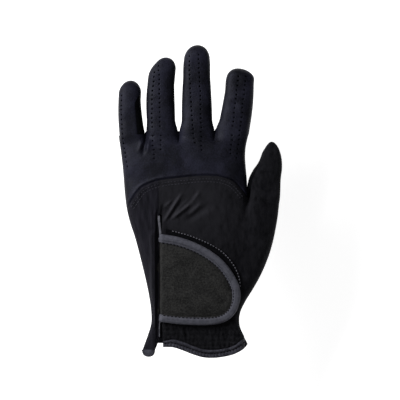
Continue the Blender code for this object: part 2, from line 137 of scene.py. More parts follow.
# Rows of holes of each finger: points as (sideways from the finger's line, along it past the knuckle)
HOLE_ROWS = {
    "little": [[(-6.9, 31.4), (-7.6, 16.2), (-7.4, 0.0), (-4.8, -25.5)]],
    "ring": [[(-4.6, 46.6), (-6.9, 25.0), (-7.0, 0.0), (-6.0, -22.2)],
             [(-1.1, 52.2), (-0.8, 17.0), (-0.5, -15.0)]],
    "middle": [[(-5.5, 59.4), (-4.6, 25.0), (-2.3, -9.4)], [(2.0, 61.0), (3.2, 17.0), (3.1, -15.4)]],
    "index": [[(-2.2, 43.8), (-1.2, 12.0), (0.2, -18.3)], [(3.9, 44.6), (4.8, 12.0), (5.5, -20.9)]],
}

# Soft folds, as (x0, y0, x1, y1, half width, height) from an anchor point; furrows have a negative height
GATHERS = [(4, -5, 18.5, 18, 1.15, 2.0), (9.5, -3, 27, 11, 1.3, 1.8), (26, 10, 33, 20, 1.5, 1.0),
           (4, 6.5, 11.5, 13, 1.0, 0.8), (11, 0, 24, 14, 0.9, 0.5), (24, 0.5, 34, 10.5, 1.6, 0.9),
           (6.5, -5, 20.5, 15.5, 1.1, -0.35), (13, -3, 30, 9.5, 1.3, -0.35), (7, 3, 13, 15, 0.8, -0.25),
           (21, -4, 40, 10, 1.8, -0.7), (25, -6, 47, 8, 2.4, 0.5), (1.9, -2, 3.0, 9, 1.1, -1.7),
           (-2, 2, -1.2, 22, 1.4, 0.6)]
CROTCH_FOLDS = [(0.5, -2, -2.5, -17, 1.5, -1.1), (2.6, -3, 1.4, -15, 1.3, 0.6), (-2.5, -4, -6, -15, 1.4, 0.5)]
THUMB_FOLDS = [(-0.5, -2, 3.5, -14, 1.6, -1.0), (3.2, 2.0, 5.8, -11, 1.3, 0.8),
               (6.4, -1, 8.5, -14, 1.4, -0.9),
               (10, -6, 6, -20, 2.0, 0.6), (-3, -8, 5, -18, 1.5, -0.7), (7, -22, 8.5, -40, 2.4, 0.5)]

# Centre of the painted light that makes the back's knit paler round it, and how much paler a fold's crest is
# painted (painted highlight) and darker its furrow (painted shade)
PAINTED_LIGHT_AT = (-8.0, 0.0, 15.0)
FOLD_SHADING_GAIN = 0.9

# How far the palm runs under the wrist hem
PALM_UNDER_HEM = 1.4

# Edges sharper than this stay crisp
RIM_ANGLE = 50.0

# Stitching: pitch, length, thickness and height above the cloth of one stitch, and rows below the curved seam
STITCH_PITCH, STITCH_LENGTH, THREAD, STITCH_PROUD = 2.4, 1.7, 0.34, 0.12
ARC_ROWS = (2.7, 5.0)

# How far the lower corner of the wrist hem is trimmed
HEM_TRIM = 1.3

# Closing tab: width of its tape, of the flange inside the stitches, and levels above the back of the hand
TAB_TRIM = 1.0
TAB_TAPE = 4.1
TAB_FLANGE = 1.2
TAB_GAP = 0.7
TAB_DIVE, TAB_DIVE_LENGTH = 2.6, 2.2
SIDE_HEM = 2.4

# Camera and floor
FLOOR_LEVEL = -80.0
FLOOR_REACH = 4000.0
FLOOR_TONE, FLOOR_GLOW = 0.9, 0.8
VIEW_WIDTH = 319.2
VIEW_CENTRE = (0.0, 1.0)
SILHOUETTE_LEVEL = 7.0
LENS, SENSOR = 300.0, 36.0

# Lamps as (name, place in m, size in m, power in W), and the light from all round
LAMPS = [("key", (-0.8, 0.45, 0.72), 0.5, 15.0), ("fill", (0.1, -0.2, 1.1), 1.2, 1.6)]
SKY_LIGHT = 0.12


# ---- reading the frame

def vertices(node):
    """Corner points of a CAD node, in mm."""
    mesh = frame["nodes"][node].data
    flat = np.empty(len(mesh.vertices) * 3, np.float32)
    mesh.vertices.foreach_get("co", flat)
    return flat.reshape(-1, 3).astype(float) / MM


def crossing(node, axis, level):
    """Points where the edges of a CAD node pass through the plane axis = level."""
    mesh = frame["nodes"][node].data
    ends = np.empty(len(mesh.edges) * 2, np.int32)
    mesh.edges.foreach_get("vertices", ends)
    spots = vertices(node)
    a, b = spots[ends[0::2]], spots[ends[1::2]]
    crossed = (a[:, axis] < level) != (b[:, axis] < level)
    a, b = a[crossed], b[crossed]
    share = (level - a[:, axis]) / (b[:, axis] - a[:, axis])
    return a + (b - a) * share[:, None]


def hull(node):
    """Plan outline of a D-shaped CAD node, clockwise from its top left corner round to its bottom left."""
    spots = sorted({(round(x, 3), round(y, 3)) for x, y, z in vertices(node)})

    def chain(points, turn):
        kept = []
        for p in points:
            while len(kept) > 1 and turn * cross(kept[-2], kept[-1], p) >= 0:
                kept.pop()
            kept.append(p)
        return kept

    ring = chain(spots, 1) + chain(spots, -1)[-2:0:-1]
    straight = [p for p in ring if p[0] < spots[0][0] + 1.0]
    round_part = [p for p in ring if p[0] >= spots[0][0] + 1.0]
    return [max(straight, key=lambda p: p[1]), *round_part, min(straight, key=lambda p: p[1])]


def cross(a, b, c):
    return (b[0] - a[0]) * (c[1] - a[1]) - (b[1] - a[1]) * (c[0] - a[0])


def low(node):
    return np.array(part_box(node)[0]) / MM


def high(node):
    return np.array(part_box(node)[1]) / MM


# ---- curves

def ease(start, end, value):
    share = np.clip((value - start) / (end - start), 0.0, 1.0)
    return share * share * (3 - 2 * share)


def through(knots, values):
    """A smooth curve through values (numbers or points) at rising knots, held level past its ends."""
    knots, values = np.asarray(knots, float), np.asarray(values, float)
    slopes = np.empty_like(values)
    slopes[1:-1] = ((values[2:] - values[:-2]).T / (knots[2:] - knots[:-2])).T
    slopes[0] = (values[1] - values[0]) / (knots[1] - knots[0])
    slopes[-1] = (values[-1] - values[-2]) / (knots[-1] - knots[-2])

    def at(t):
        t = np.clip(np.asarray(t, float), knots[0], knots[-1])
        i = np.clip(np.searchsorted(knots, t, side="right") - 1, 0, len(knots) - 2)
        span = knots[i + 1] - knots[i]
        s = (t - knots[i]) / span
        if values.ndim > 1:
            span, s = span[..., None], s[..., None]
        level = values[i] * (1 + 2 * s) * (1 - s) ** 2 + values[i + 1] * s * s * (3 - 2 * s)
        return level + slopes[i] * span * s * (1 - s) ** 2 - slopes[i + 1] * span * s * s * (1 - s)

    return at


def path(points):
    """A smooth plan curve through the points, as a function of 0 to 1 along it."""
    points = np.asarray(points, float)
    knots = np.concatenate([[0.0], np.cumsum(np.linalg.norm(np.diff(points, axis=0), axis=1))])
    return through(knots / knots[-1], points)


def length_of(curve):
    spots = curve(np.linspace(0, 1, 400))
    return np.linalg.norm(np.diff(spots, axis=0), axis=1).sum()


def part_of(curve, start, end):
    return lambda t: curve(start + (end - start) * np.asarray(t))


def joined(first, second, share):
    """Two curves in a row; the first one takes the given share."""
    def at(t):
        t = np.asarray(t, float)
        return np.where((t <= share)[..., None], first(np.minimum(t / share, 1)),
                        second(np.maximum((t - share) / (1 - share), 0)))

    return at


def offset(curve, inward):
    """The curve moved to its right-hand side as it runs."""
    def at(t):
        t = np.asarray(t, float)
        ahead = curve(np.minimum(t + 0.004, 1.0)) - curve(np.maximum(t - 0.004, 0.0))
        ahead = ahead / np.linalg.norm(ahead, axis=-1, keepdims=True)
        shift = np.asarray(inward)[..., None] if np.ndim(inward) else inward
        return curve(t) + np.stack([ahead[..., 1], -ahead[..., 0]], -1) * shift

    return at


def even(t):
    return t


def dense_both(t):
    return 0.5 - 0.5 * np.cos(np.pi * t)


def dense_start(t):
    return t * t * 0.6 + t * 0.4


def dense_end(t):
    return 1 - dense_start(1 - t)


def patch(left, right, bottom, top, columns, rows, spread=even):
    """Plan positions on a grid inside four border curves."""
    u, v = spread(np.linspace(0, 1, columns + 1)), np.linspace(0, 1, rows + 1)
    sides_l, sides_r = left(v)[:, None], right(v)[:, None]
    ends_b, ends_t = bottom(u)[None], top(u)[None]
    u, v = u[None, :, None], v[:, None, None]
    low_edge = ends_b[:, :1] * (1 - u) + ends_b[:, -1:] * u
    high_edge = ends_t[:, :1] * (1 - u) + ends_t[:, -1:] * u
    corners = low_edge * (1 - v) + high_edge * v
    return sides_l * (1 - u) + sides_r * u + ends_b * (1 - v) + ends_t * v - corners


def distance(curve, x, y, samples=260):
    """Plan distance of each point from a curve."""
    spots = curve(np.linspace(0, 1, samples))
    best = np.full(np.shape(x), 1e9)
    for a, b in zip(spots, spots[1:]):
        step = b - a
        t = np.clip(((x - a[0]) * step[0] + (y - a[1]) * step[1]) / max(step @ step, 1e-9), 0, 1)
        best = np.minimum(best, (x - a[0] - t * step[0]) ** 2 + (y - a[1] - t * step[1]) ** 2)
    return np.sqrt(best)


def lumps(x, y, z, size, seed, waves=9):
    """Smooth random lumps about size mm across, from about -1 to 1."""
    draw = np.random.default_rng(seed)
    total = np.zeros(np.shape(x))
    for _ in range(waves):
        direction = draw.normal(size=3)
        direction /= np.linalg.norm(direction)
        turn = 2 * math.pi / (size * draw.uniform(1.4, 2.8))
        along = x * direction[0] + y * direction[1] + z * direction[2]
        total += np.sin(along * turn + draw.uniform(0, 6.28))
    return total / math.sqrt(waves)


def folds(x, y, anchor, strokes):
    """Soft ridges and furrows along short strokes."""
    total = np.zeros(np.shape(x))
    for x0, y0, x1, y1, half, height in strokes:
        step = np.array([x1 - x0, y1 - y0])
        across_x, across_y = x - anchor[0] - x0, y - anchor[1] - y0
        t = (across_x * step[0] + across_y * step[1]) / (step @ step)
        aside = (across_x * step[1] - across_y * step[0]) / np.linalg.norm(step)
        taper = ease(-0.12, 0.3, t) * (1 - ease(0.6, 1.12, t))
        total += height * taper * np.exp(-(aside / half) ** 2)
    return total


# ---- digits, measured on their nodes

def stem(name):
    """The name of a digit's body, which its nodes' names start with."""
    return name if name == "thumb" else name + "_finger"


def measure_digit(name):
    """Base, direction, length, widths and tip drift of a digit, from its hinge and its CAD nodes."""
    shape = SHAPES[name]
    nodes = [stem(name) + "_back", stem(name) + "_front", *(strip for strip in shape["strips"] if strip)]
    joint = joints[name + "_bend"]
    base = np.array(joint["pos_m"][:2]) / MM
    axis = np.array(joint["axis"][:2])
    ahead = np.array([axis[1], -axis[0]])
    ahead = ahead * np.sign(ahead[1])
    side = np.array([ahead[1], -ahead[0]])
    spots = np.concatenate([vertices(node) for node in nodes])
    along = (spots[:, :2] - base) @ ahead
    aside = (spots[:, :2] - base) @ side
    length = along.max()
    drift = aside[np.argmax(along)]
    root = np.abs(aside[along < 2.0]).max() * 2
    neck = aside[np.abs(along - (length - shape["neck"])) < 0.8]
    neck_drift = drift * (1 - shape["neck"] / length) ** 4
    return SimpleNamespace(**shape, name=name, base=base, ahead=ahead, side=side, length=length, drift=drift,
                           wide=root, narrow=(neck.max() - neck_drift) * 2, tall=high(nodes[0])[2])


joints = {joint["name"]: joint for joint in frame["joints"]}
digits = {name: measure_digit(name) for name in SHAPES}
thumb = digits["thumb"]


def measure_web():
    """How far the gusset side of the thumb stands out of its round section, along the thumb."""
    spots = vertices("thumb_gusset")
    along = (spots[:, :2] - thumb.base) @ thumb.ahead / thumb.length
    aside = (spots[:, :2] - thumb.base) @ thumb.side
    knots, outs = [0.0], [0.0]
    cap = 1 - thumb.dome / thumb.length
    for at in WEB_STATIONS:
        near = np.abs(along - at) < 0.07
        share = float(ease(0, cap, at))
        half = (thumb.wide + (thumb.narrow - thumb.wide) * share) / 2
        half *= math.sqrt(max(1 - (max(at - cap, 0.0) / (1 - cap)) ** 2, 0.0))
        knots.append(at)
        outs.append(max(-aside[near].min() + thumb.drift * at ** 4 - half, 0.0))
    return through(knots + [0.8, 1.0], outs + [0.0, 0.0])


thumb_web = measure_web()
finger_tall = digits["middle"].tall

# ---- outlines and levels of the hand

widest = (high("palm_leather")[2] + low("knuckle_leather")[2]) / 2 + 0.1
finger_y = digits["ring"].base[1]
wrist_y = low("palm_leather")[1]
palm_rows = np.linspace(wrist_y + 0.5, low("little_finger_back")[1] - 1.0, 15)


def corner(digit, way):
    """Where the left (0) or right (1) side of a digit meets its base line."""
    return digit.base + digit.side * (digit.wide / 2 + digit.flare[way]) * (2 * way - 1)


little_corner = corner(digits["little"], 0)
index_corner = corner(digits["index"], 1)
ulnar = through([*palm_rows, little_corner[1]],
                [*(crossing("palm_leather", 1, y)[:, 0].min() for y in palm_rows), little_corner[0]])
thumb_rows = np.linspace(wrist_y + 0.5, -2.6, 12)
radial_x = np.array([crossing("palm_leather", 1, y)[:, 0].max() for y in thumb_rows])
root_step = (radial_x[-1] - radial_x[-2]) / (thumb_rows[-1] - thumb_rows[-2])
thumb_corner = corner(thumb, 1)
corner_gap = thumb_corner[0] - radial_x[-1] - root_step * (thumb_corner[1] - thumb_rows[-1])
radial_x += corner_gap * ease(-32.0, -2.6, thumb_rows)
radial = through([*thumb_rows, MOUND_TOP_Y],
                 [*radial_x, radial_x[-1] + root_step * (MOUND_TOP_Y - thumb_rows[-1])])
side_rows = np.linspace(MOUND_TOP_Y + 1.0, low("index_finger_back")[1] - 3.5, 7)
side_x = [crossing("knuckle_leather", 1, y)[:, 0].max() for y in side_rows]
wrist_side = [(y, float(radial(y))) for y in (wrist_y, -104, -93)]
hand_side = through([p[0] for p in wrist_side + UNDER_THUMB] + [*side_rows, index_corner[1]],
                    [p[1] for p in wrist_side + UNDER_THUMB] + [*side_x, index_corner[0]])
level_rows = [("wrist_elastic", -110), ("wrist_elastic", -99), ("back_panel", -80), ("back_panel", -60),
              ("back_panel", -40), ("back_panel", -20), ("back_panel", 0), ("knuckle_leather", 25)]
level_rows = [(y, crossing(node, 1, y)[:, 2].max()) for node, y in level_rows]
level_rows.append((finger_y, finger_tall + 0.5))
hand_height = through(*zip(*level_rows))
mound_half = through(*zip(*MOUND_HALF))


def mound_level(y):
    """Top of the thumb mound on the CAD panel at that y."""
    x = float(radial(y) - mound_half(y))
    cut = crossing("back_panel", 1, y)
    near = cut[np.abs(cut[:, 0] - x) < 4.0]
    return near[:, 2].max()


mound_height = through([-94, -75, -60, -42, -25, -5], [mound_level(y) for y in (-94, -75, -60, -42, -25, -5)])


def arch(across, half, square):
    reach = np.minimum(np.abs(across) / half, 1.0)
    return (1 - reach ** square) ** (1 / square)


def smooth_max(a, b, k):
    overlap = np.maximum(k - np.abs(a - b), 0.0) / k
    return np.maximum(a, b) + overlap * overlap * k / 4


def root_rise(x, y):
    """Arches of the four finger roots side by side, 0 to 1, closed along the hand's own outline."""
    rise = np.zeros(np.shape(x))
    for name in FINGERS:
        digit = digits[name]
        centre = digit.base[0] + digit.ahead[0] / digit.ahead[1] * (y - digit.base[1])
        half = digit.wide / 2 + np.where(x < centre, *digit.flare)
        rise = np.maximum(rise, arch(x - centre, half + 0.05, DIGIT_SQUARE))
    inset = np.minimum(x - ulnar(y), hand_side(y) - x)
    return np.minimum(rise, arch(np.maximum(EDGE_ROUND - inset, 0.0), EDGE_ROUND, DIGIT_SQUARE))


def root_share(y):
    return ease(ROOT_START, finger_y - 3.4, y)


def hand_surface(x, y):
    """Outer surface of the back of the hand before folds and seams."""
    left, right = ulnar(y), hand_side(y)
    rise = arch(x - (left + right) / 2, (right - left) / 2, HAND_SQUARE)
    height = widest + (hand_height(y) - widest) * rise
    root = widest + (finger_tall - widest) * root_rise(x, y)
    height = height + (root - height) * root_share(y)
    half = mound_half(y)
    mound = widest + (mound_height(y) - widest) * arch(x - (radial(y) - half), half, DIGIT_SQUARE)
    merged = np.where(np.minimum(height, mound) <= widest, np.maximum(height, mound),
                      smooth_max(height, mound, VALLEY))
    return np.where(y > MOUND_TOP_Y, height, merged)


def under_thumb(x, y):
    """Underside of the thumb where it leaves the hand."""
    aside = (x - thumb.base[0]) * thumb.side[0] + (y - thumb.base[1]) * thumb.side[1]
    half = thumb.wide / 2 + np.where(aside < 0, *thumb.flare)
    return widest * (1 - arch(aside, half, DIGIT_SQUARE))


def palm_surface(x, y):
    """Outer surface of the palm: flat on the ground and turned up at the outline."""
    def turn(inset):
        share = np.clip(inset / PALM_TURN, 0.0, 1.0)
        return 1 - np.sqrt(1 - (1 - share) ** 2)

    right = np.where(y <= 3, turn(radial(y) - x), turn(hand_side(y) - x) * ease(3, 12, y))
    return widest * np.maximum(turn(x - ulnar(y)), right)


# ---- seams of the back

knuckle = vertices("knuckle_leather")
arc_right = knuckle[knuckle[:, 0] > 30][np.argmin(knuckle[knuckle[:, 0] > 30][:, 1])][:2]
arc_left = np.array([float(ulnar(knuckle[:, 1].min())), knuckle[:, 1].min()])
arc_x = np.linspace(arc_left[0] + 2, arc_right[0] - 1.5, 11)
arc = path([arc_left, *[(x, crossing("knuckle_leather", 0, x)[:, 1].min()) for x in arc_x], arc_right])
slit_x = high("side_panel")[0]
slit_top = high("slit_binding")[1]
tape_edge = high("slit_binding")[0] + 0.2
back_low = low("back_panel")[1]
arc_shares = np.linspace(0, 1, 500)
slit_share = float(np.interp(slit_x, arc(arc_shares)[:, 0], arc_shares))
slit_meets = arc(slit_share)
thumb_line = path([corner(thumb, 0), thumb.base, thumb_corner])
side_seam = path([(slit_x, slit_top + 1), (slit_x, (slit_top + slit_meets[1]) / 2), slit_meets])
thumb_crotch = thumb.base - thumb.side * thumb.wide / 2 + np.array([-0.6, 8.0])
crotch = (digits["little"].base + digits["ring"].base) / 2 + np.array([-0.6, -1.0])


def relief(x, y):
    """Folds, seam valleys and unevenness of everything on the back of the hand."""
    level = -0.75 * np.exp(-(distance(arc, x, y) / 0.9) ** 2)
    level += 0.35 * np.exp(-((distance(arc, x, y) - 1.9) / 1.0) ** 2)
    level -= 0.25 * np.exp(-(distance(side_seam, x, y) / 0.8) ** 2)
    level += folds(x, y, (slit_x, slit_top), GATHERS)
    level += 1.4 * folds(x, y, crotch, CROTCH_FOLDS)
    level += 1.3 * folds(x, y, thumb_crotch, THUMB_FOLDS)
    level += 0.28 * lumps(x, y, 0 * x, 13, 3) + 0.1 * lumps(x, y, 0 * x, 4.5, 4)
    inset = np.minimum(x - ulnar(y), np.where(y > MOUND_TOP_Y, hand_side(y), radial(y)) - x)
    return level * ease(0.2, 4.0, inset)


def on_back(x, y):
    return np.maximum(hand_surface(x, y) + relief(x, y), widest + 0.15)


# ---- meshes

def mesh_from(name, spots, faces, cloth=None):
    """Mesh in metres with two rest-position attributes in mm: place in space, and cloth along the weave."""
    mesh = bpy.data.meshes.new(name)
    mesh.from_pydata((spots * MM).tolist(), [], faces)
    for attribute, values in (("place", spots), ("cloth", cloth)):
        if values is not None:
            made = mesh.attributes.new(attribute, "FLOAT_VECTOR", "POINT")
            made.data.foreach_set("vector", np.asarray(values, np.float32).ravel())
    mesh.polygons.foreach_set("use_smooth", np.ones(len(mesh.polygons), bool))
    return mesh


def grid_faces(rows, columns, flip, gone):
    """Faces of a grid of points, without those that touch a point that is gone."""
    faces = []
    for j in range(rows - 1):
        for i in range(columns - 1):
            first = j * columns + i
            corners = (first, first + 1, first + columns + 1, first + columns)
            if not gone.intersection(corners):
                faces.append(corners[::-1] if flip else corners)
    return faces


def punch(spots, centres):
    """Opens round holes in a grid of points, and returns the indices of the points that go."""
    rows, columns = spots.shape[:2]
    gone = set()
    for x, y in centres:
        gap = (spots[..., 0] - x) ** 2 + (spots[..., 1] - y) ** 2
        j, i = np.unravel_index(np.argmin(gap), gap.shape)
        if gap[j, i] > 0.6 or not (2 <= j < rows - 2 and 2 <= i < columns - 2):
            continue
        middle = spots[j, i].copy()
        for dj in (-1, 0, 1):
            for di in (-1, 0, 1):
                if dj or di:
                    away = spots[j + dj, i + di] - middle
                    spots[j + dj, i + di] = middle + away * HOLE / np.linalg.norm(away)
                    spots[j + dj, i + di, 2] -= HOLE_DIP
        gone.add(int(j * columns + i))
    return frozenset(gone)


def cloth_of(spots):
    """Weave coordinates in mm: across the grid, along it, and 0."""
    across = np.linalg.norm(np.diff(spots, axis=1), axis=2).sum(1).mean()
    along = np.linalg.norm(np.diff(spots, axis=0), axis=2).sum(0).mean()
    rows, columns = spots.shape[:2]
    u, v = np.meshgrid(np.linspace(0, across, columns), np.linspace(0, along, rows))
    return np.stack([u, v, 0 * u], -1)


def panel(name, spots, thickness, look, body, node, flip=False, centres=(), fold_shading=None):
    """A closed thin piece whose outer skin is the grid of points; fold_shading marks where a painted
    highlight (fold crests) and painted shade (furrows) go.
    """
    cloth = cloth_of(spots)
    gone = punch(spots, centres)
    rows, columns = spots.shape[:2]
    faces = grid_faces(rows, columns, flip, gone)
    obj = bpy.data.objects.new(name, mesh_from(name, spots.reshape(-1, 3), faces, cloth=cloth.reshape(-1, 3)))
    bpy.context.scene.collection.objects.link(obj)
    if fold_shading is not None:
        painted_shading = obj.data.attributes.new("fold_shading", "FLOAT", "POINT")
        painted_shading.data.foreach_set("value", np.asarray(fold_shading, np.float32).ravel())
    drop_loose(obj.data)
    obj.data.materials.append(looks[look])
    wall = obj.modifiers.new("thickness", "SOLIDIFY")
    wall.thickness = thickness * MM
    wall.offset = -1.0
    solid = bpy.data.meshes.new_from_object(obj.evaluated_get(bpy.context.evaluated_depsgraph_get()))
    obj.modifiers.clear()
    obj.data = solid
    solid.name = name
    solid.set_sharp_from_angle(angle=math.radians(RIM_ANGLE))
    carry(obj, body)
    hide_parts(node)


def drop_loose(mesh):
    bm = bmesh.new()
    bm.from_mesh(mesh)
    bmesh.ops.delete(bm, geom=[v for v in bm.verts if not v.link_faces], context="VERTS")
    bm.to_mesh(mesh)
    bm.free()


def lift(plan, height):
    return np.concatenate([plan, height(plan[..., 0], plan[..., 1])[..., None]], -1)


def carry(obj, body):
    """Rides on a body; when a digit's key is given, the piece's place is baked into its mesh instead."""
    if body in digits:
        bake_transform(obj)
    else:
        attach(obj, body)


# ---- stitches

def stitches(name, body, rows, height, look, thread=THREAD, pitch=STITCH_PITCH, length=STITCH_LENGTH):
    """Runs of stitches along plan curves: each one a little bow of thread whose ends dip into the cloth."""
    rings, sides = (0.0, 0.18, 0.5, 0.82, 1.0), 6
    swell, bow = (0.45, 0.9, 1.0, 0.9, 0.45), (-0.9, 0.1, 0.45, 0.1, -0.9)
    spots, faces = [], []
    for curve in rows:
        total = length_of(curve)
        count = max(int(total / pitch), 1)
        for n in range(count):
            middle = (n + 0.5) / count
            reach = length / total / 2
            shares = np.array([middle + (2 * r - 1) * reach for r in rings])
            line = curve(np.clip(shares, 0, 1))
            levels = height(line[:, 0], line[:, 1])
            core = np.concatenate([line, levels[:, None]], 1)
            ahead = core[-1] - core[0]
            ahead /= max(np.linalg.norm(ahead), 1e-6)
            aside = np.cross(ahead, (0, 0, 1.0))
            aside /= max(np.linalg.norm(aside), 1e-6)
            up = np.cross(aside, ahead)
            start = len(spots)
            for k, point in enumerate(core):
                centre = point + up * (STITCH_PROUD + bow[k] * thread)
                for s in range(sides):
                    turn = 2 * math.pi * s / sides
                    spots.append(centre + (aside * math.cos(turn) + up * math.sin(turn)) * thread * swell[k])
            for k in range(len(rings) - 1):
                for s in range(sides):
                    a, b = start + k * sides + s, start + k * sides + (s + 1) % sides
                    faces.append((a, b, b + sides, a + sides))
            faces.append(tuple(start + s for s in reversed(range(sides))))
            faces.append(tuple(start + (len(rings) - 1) * sides + s for s in range(sides)))
    obj = bpy.data.objects.new(name, mesh_from(name, np.array(spots), faces))
    bpy.context.scene.collection.objects.link(obj)
    obj.data.materials.append(looks[look])
    carry(obj, body)


# ---- materials

def add(tree, kind, settings=None, **links):
    """A node with its settings and inputs; an input is a number, a colour or another node's socket."""
    made = tree.nodes.new("ShaderNode" + kind)
    for key, value in (settings or {}).items():
        setattr(made, key, value)
    for key, value in links.items():
        numbered = key[0] == "i" and key[1:].isdigit()
        socket = made.inputs[int(key[1:]) if numbered else key.replace("_", " ")]
        if isinstance(value, bpy.types.NodeSocket):
            tree.links.new(value, socket)
        else:
            socket.default_value = value
    return made


def colour_ramp(tree, factor, stops):
    made = add(tree, "ValToRGB", Fac=factor)
    ramp = made.color_ramp
    while len(ramp.elements) < len(stops):
        ramp.elements.new(0.5)
    for element, (at, colour) in zip(ramp.elements, stops):
        element.position = at
        element.color = (*colour, 1.0)
    return made.outputs["Color"]


def base_material(name, roughness, sheen=0.0, specular=0.4, tint=(1, 1, 1)):
    made = bpy.data.materials.new(name)
    made.use_nodes = True
    tree = made.node_tree
    shader = tree.nodes["Principled BSDF"]
    shader.inputs["Roughness"].default_value = roughness
    shader.inputs["Specular IOR Level"].default_value = specular
    shader.inputs["Sheen Weight"].default_value = sheen
    shader.inputs["Sheen Roughness"].default_value = 0.5
    shader.inputs["Sheen Tint"].default_value = (*tint, 1.0)
    shader.inputs["Specular Tint"].default_value = (0.8, 0.82, 1.0, 1.0)
    return made, tree, shader


def rest_point(tree, attribute="place"):
    return add(tree, "Attribute", {"attribute_name": attribute}).outputs["Vector"]


def blended(tree, value, factor, rest):
    """value * factor + rest."""
    return add(tree, "Math", {"operation": "MULTIPLY_ADD"}, i0=value, i1=factor, i2=rest).outputs[0]


def noise(tree, point, scale, detail, roughness=0.5):
    return add(tree, "TexNoise", Vector=point, Scale=scale, Detail=detail, Roughness=roughness).outputs["Fac"]


def ribs(tree, cloth, way, scale, distortion, detail):
    settings = {"bands_direction": way, "wave_profile": "SIN"}
    wave = add(tree, "TexWave", settings, Vector=cloth, Scale=scale, Distortion=distortion, Detail=detail)
    return wave.outputs["Fac"]


def bumped(tree, shader, height, distance_mm, strength=1.0):
    bump = add(tree, "Bump", Strength=strength, Distance=distance_mm * MM, Height=height)
    tree.links.new(bump.outputs["Normal"], shader.inputs["Normal"])


def leather(name, dark, light, roughness):
    """Fine pebbled leather with worn lighter patches."""
    made, tree, shader = base_material(name, roughness, specular=0.17)
    point = rest_point(tree)
    patches = noise(tree, point, 0.055, 4.0, 0.55)
    grain = add(tree, "TexVoronoi", {"feature": "SMOOTH_F1"}, Vector=point, Scale=1.25, Smoothness=0.6)
    grain = grain.outputs["Distance"]
    fine = noise(tree, point, 2.6, 3.0, 0.6)
    speckle = noise(tree, point, 0.75, 4.0, 0.8)
    tone = blended(tree, grain, -0.25, blended(tree, speckle, 0.8, patches))
    tree.links.new(colour_ramp(tree, tone, [(0.66, dark), (0.98, light)]), shader.inputs["Base Color"])
    rough = add(tree, "MapRange", Value=patches, i3=roughness - 0.07, i4=roughness + 0.1)
    tree.links.new(rough.outputs[0], shader.inputs["Roughness"])
    bumped(tree, shader, blended(tree, fine, 0.5, grain), 0.16, 0.55)
    return made


def knit(name, dark, light, rib, roughness=0.8, sheen=0.02, streak=(0.02, 0.3, 1.0), painted_light=0.0):
    """Stretch knit: fine ribs crossed by courses, with long soft streaks of tone; painted light makes it
    paler over the knuckles, and fold_shading paints a highlight on fold crests and shade in furrows.
    """
    made, tree, shader = base_material(name, roughness, sheen=sheen, specular=0.08, tint=(0.8, 0.82, 0.95))
    point, cloth = rest_point(tree), rest_point(tree, "cloth")
    along, across = ribs(tree, cloth, "X", rib, 1.2, 2.0), ribs(tree, cloth, "Y", rib * 1.6, 1.5, 2.0)
    weave = add(tree, "Math", {"operation": "MULTIPLY"}, i0=along, i1=across).outputs[0]
    drawn_out = add(tree, "VectorMath", {"operation": "MULTIPLY"}, i0=point, i1=streak).outputs["Vector"]
    tone = blended(tree, weave, 0.3, noise(tree, drawn_out, 1.0, 5.0, 0.65))
    # Painted light: the knit is paler near PAINTED_LIGHT_AT and darker away from it, standing in for the key
    # light's fall-off
    away = add(tree, "VectorMath", {"operation": "DISTANCE"}, i0=point, i1=PAINTED_LIGHT_AT)
    near = add(tree, "MapRange", Value=away.outputs["Value"], i1=15.0, i2=55.0, i3=painted_light, i4=0.0)
    tone = add(tree, "Math", {"operation": "ADD"}, i0=tone, i1=near.outputs[0]).outputs[0]
    # Painted highlight on fold crests and painted shade in furrows, read from the fold_shading attribute
    fold_shading = add(tree, "Attribute", {"attribute_name": "fold_shading"}).outputs["Fac"]
    colour = colour_ramp(tree, tone, [(0.35, dark), (0.85, light)])
    painted_shading = blended(tree, fold_shading, FOLD_SHADING_GAIN, 1.0)
    colour = add(tree, "VectorMath", {"operation": "SCALE"}, i0=colour, Scale=painted_shading)
    tree.links.new(colour.outputs["Vector"], shader.inputs["Base Color"])
    bumped(tree, shader, weave, 0.2, 0.7)
    return made


def felt(name, dark, light):
    """Brushed felt: short fibres in every direction."""
    made, tree, shader = base_material(name, 0.95, sheen=0.03, specular=0.08, tint=(0.95, 1.0, 0.92))
    point = rest_point(tree)
    fibres = noise(tree, point, 0.8, 6.0, 0.8)
    tone = blended(tree, noise(tree, point, 0.12, 3.0), 0.25, fibres)
    tree.links.new(colour_ramp(tree, tone, [(0.5, dark), (0.76, light)]), shader.inputs["Base Color"])
    bumped(tree, shader, fibres, 0.35, 0.8)
    return made


def tape(name, dark, light, pitch=1.4):
    """Woven tape with fine cross ribs."""
    made, tree, shader = base_material(name, 0.6, specular=0.15)
    cross_ribs = ribs(tree, rest_point(tree, "cloth"), "X", pitch, 0.6, 1.0)
    tone = blended(tree, cross_ribs, 0.18, noise(tree, rest_point(tree), 0.35, 5.0, 0.6))
    tree.links.new(colour_ramp(tree, tone, [(0.35, dark), (0.8, light)]), shader.inputs["Base Color"])
    bumped(tree, shader, cross_ribs, 0.12, 0.5)
    return made


def thread_material(name, dark, light):
    made, tree, shader = base_material(name, 0.6, specular=0.15)
    twist = noise(tree, rest_point(tree), 1.4, 3.0)
    tree.links.new(colour_ramp(tree, twist, [(0.3, dark), (0.7, light)]), shader.inputs["Base Color"])
    bumped(tree, shader, twist, 0.08, 0.6)
    return made


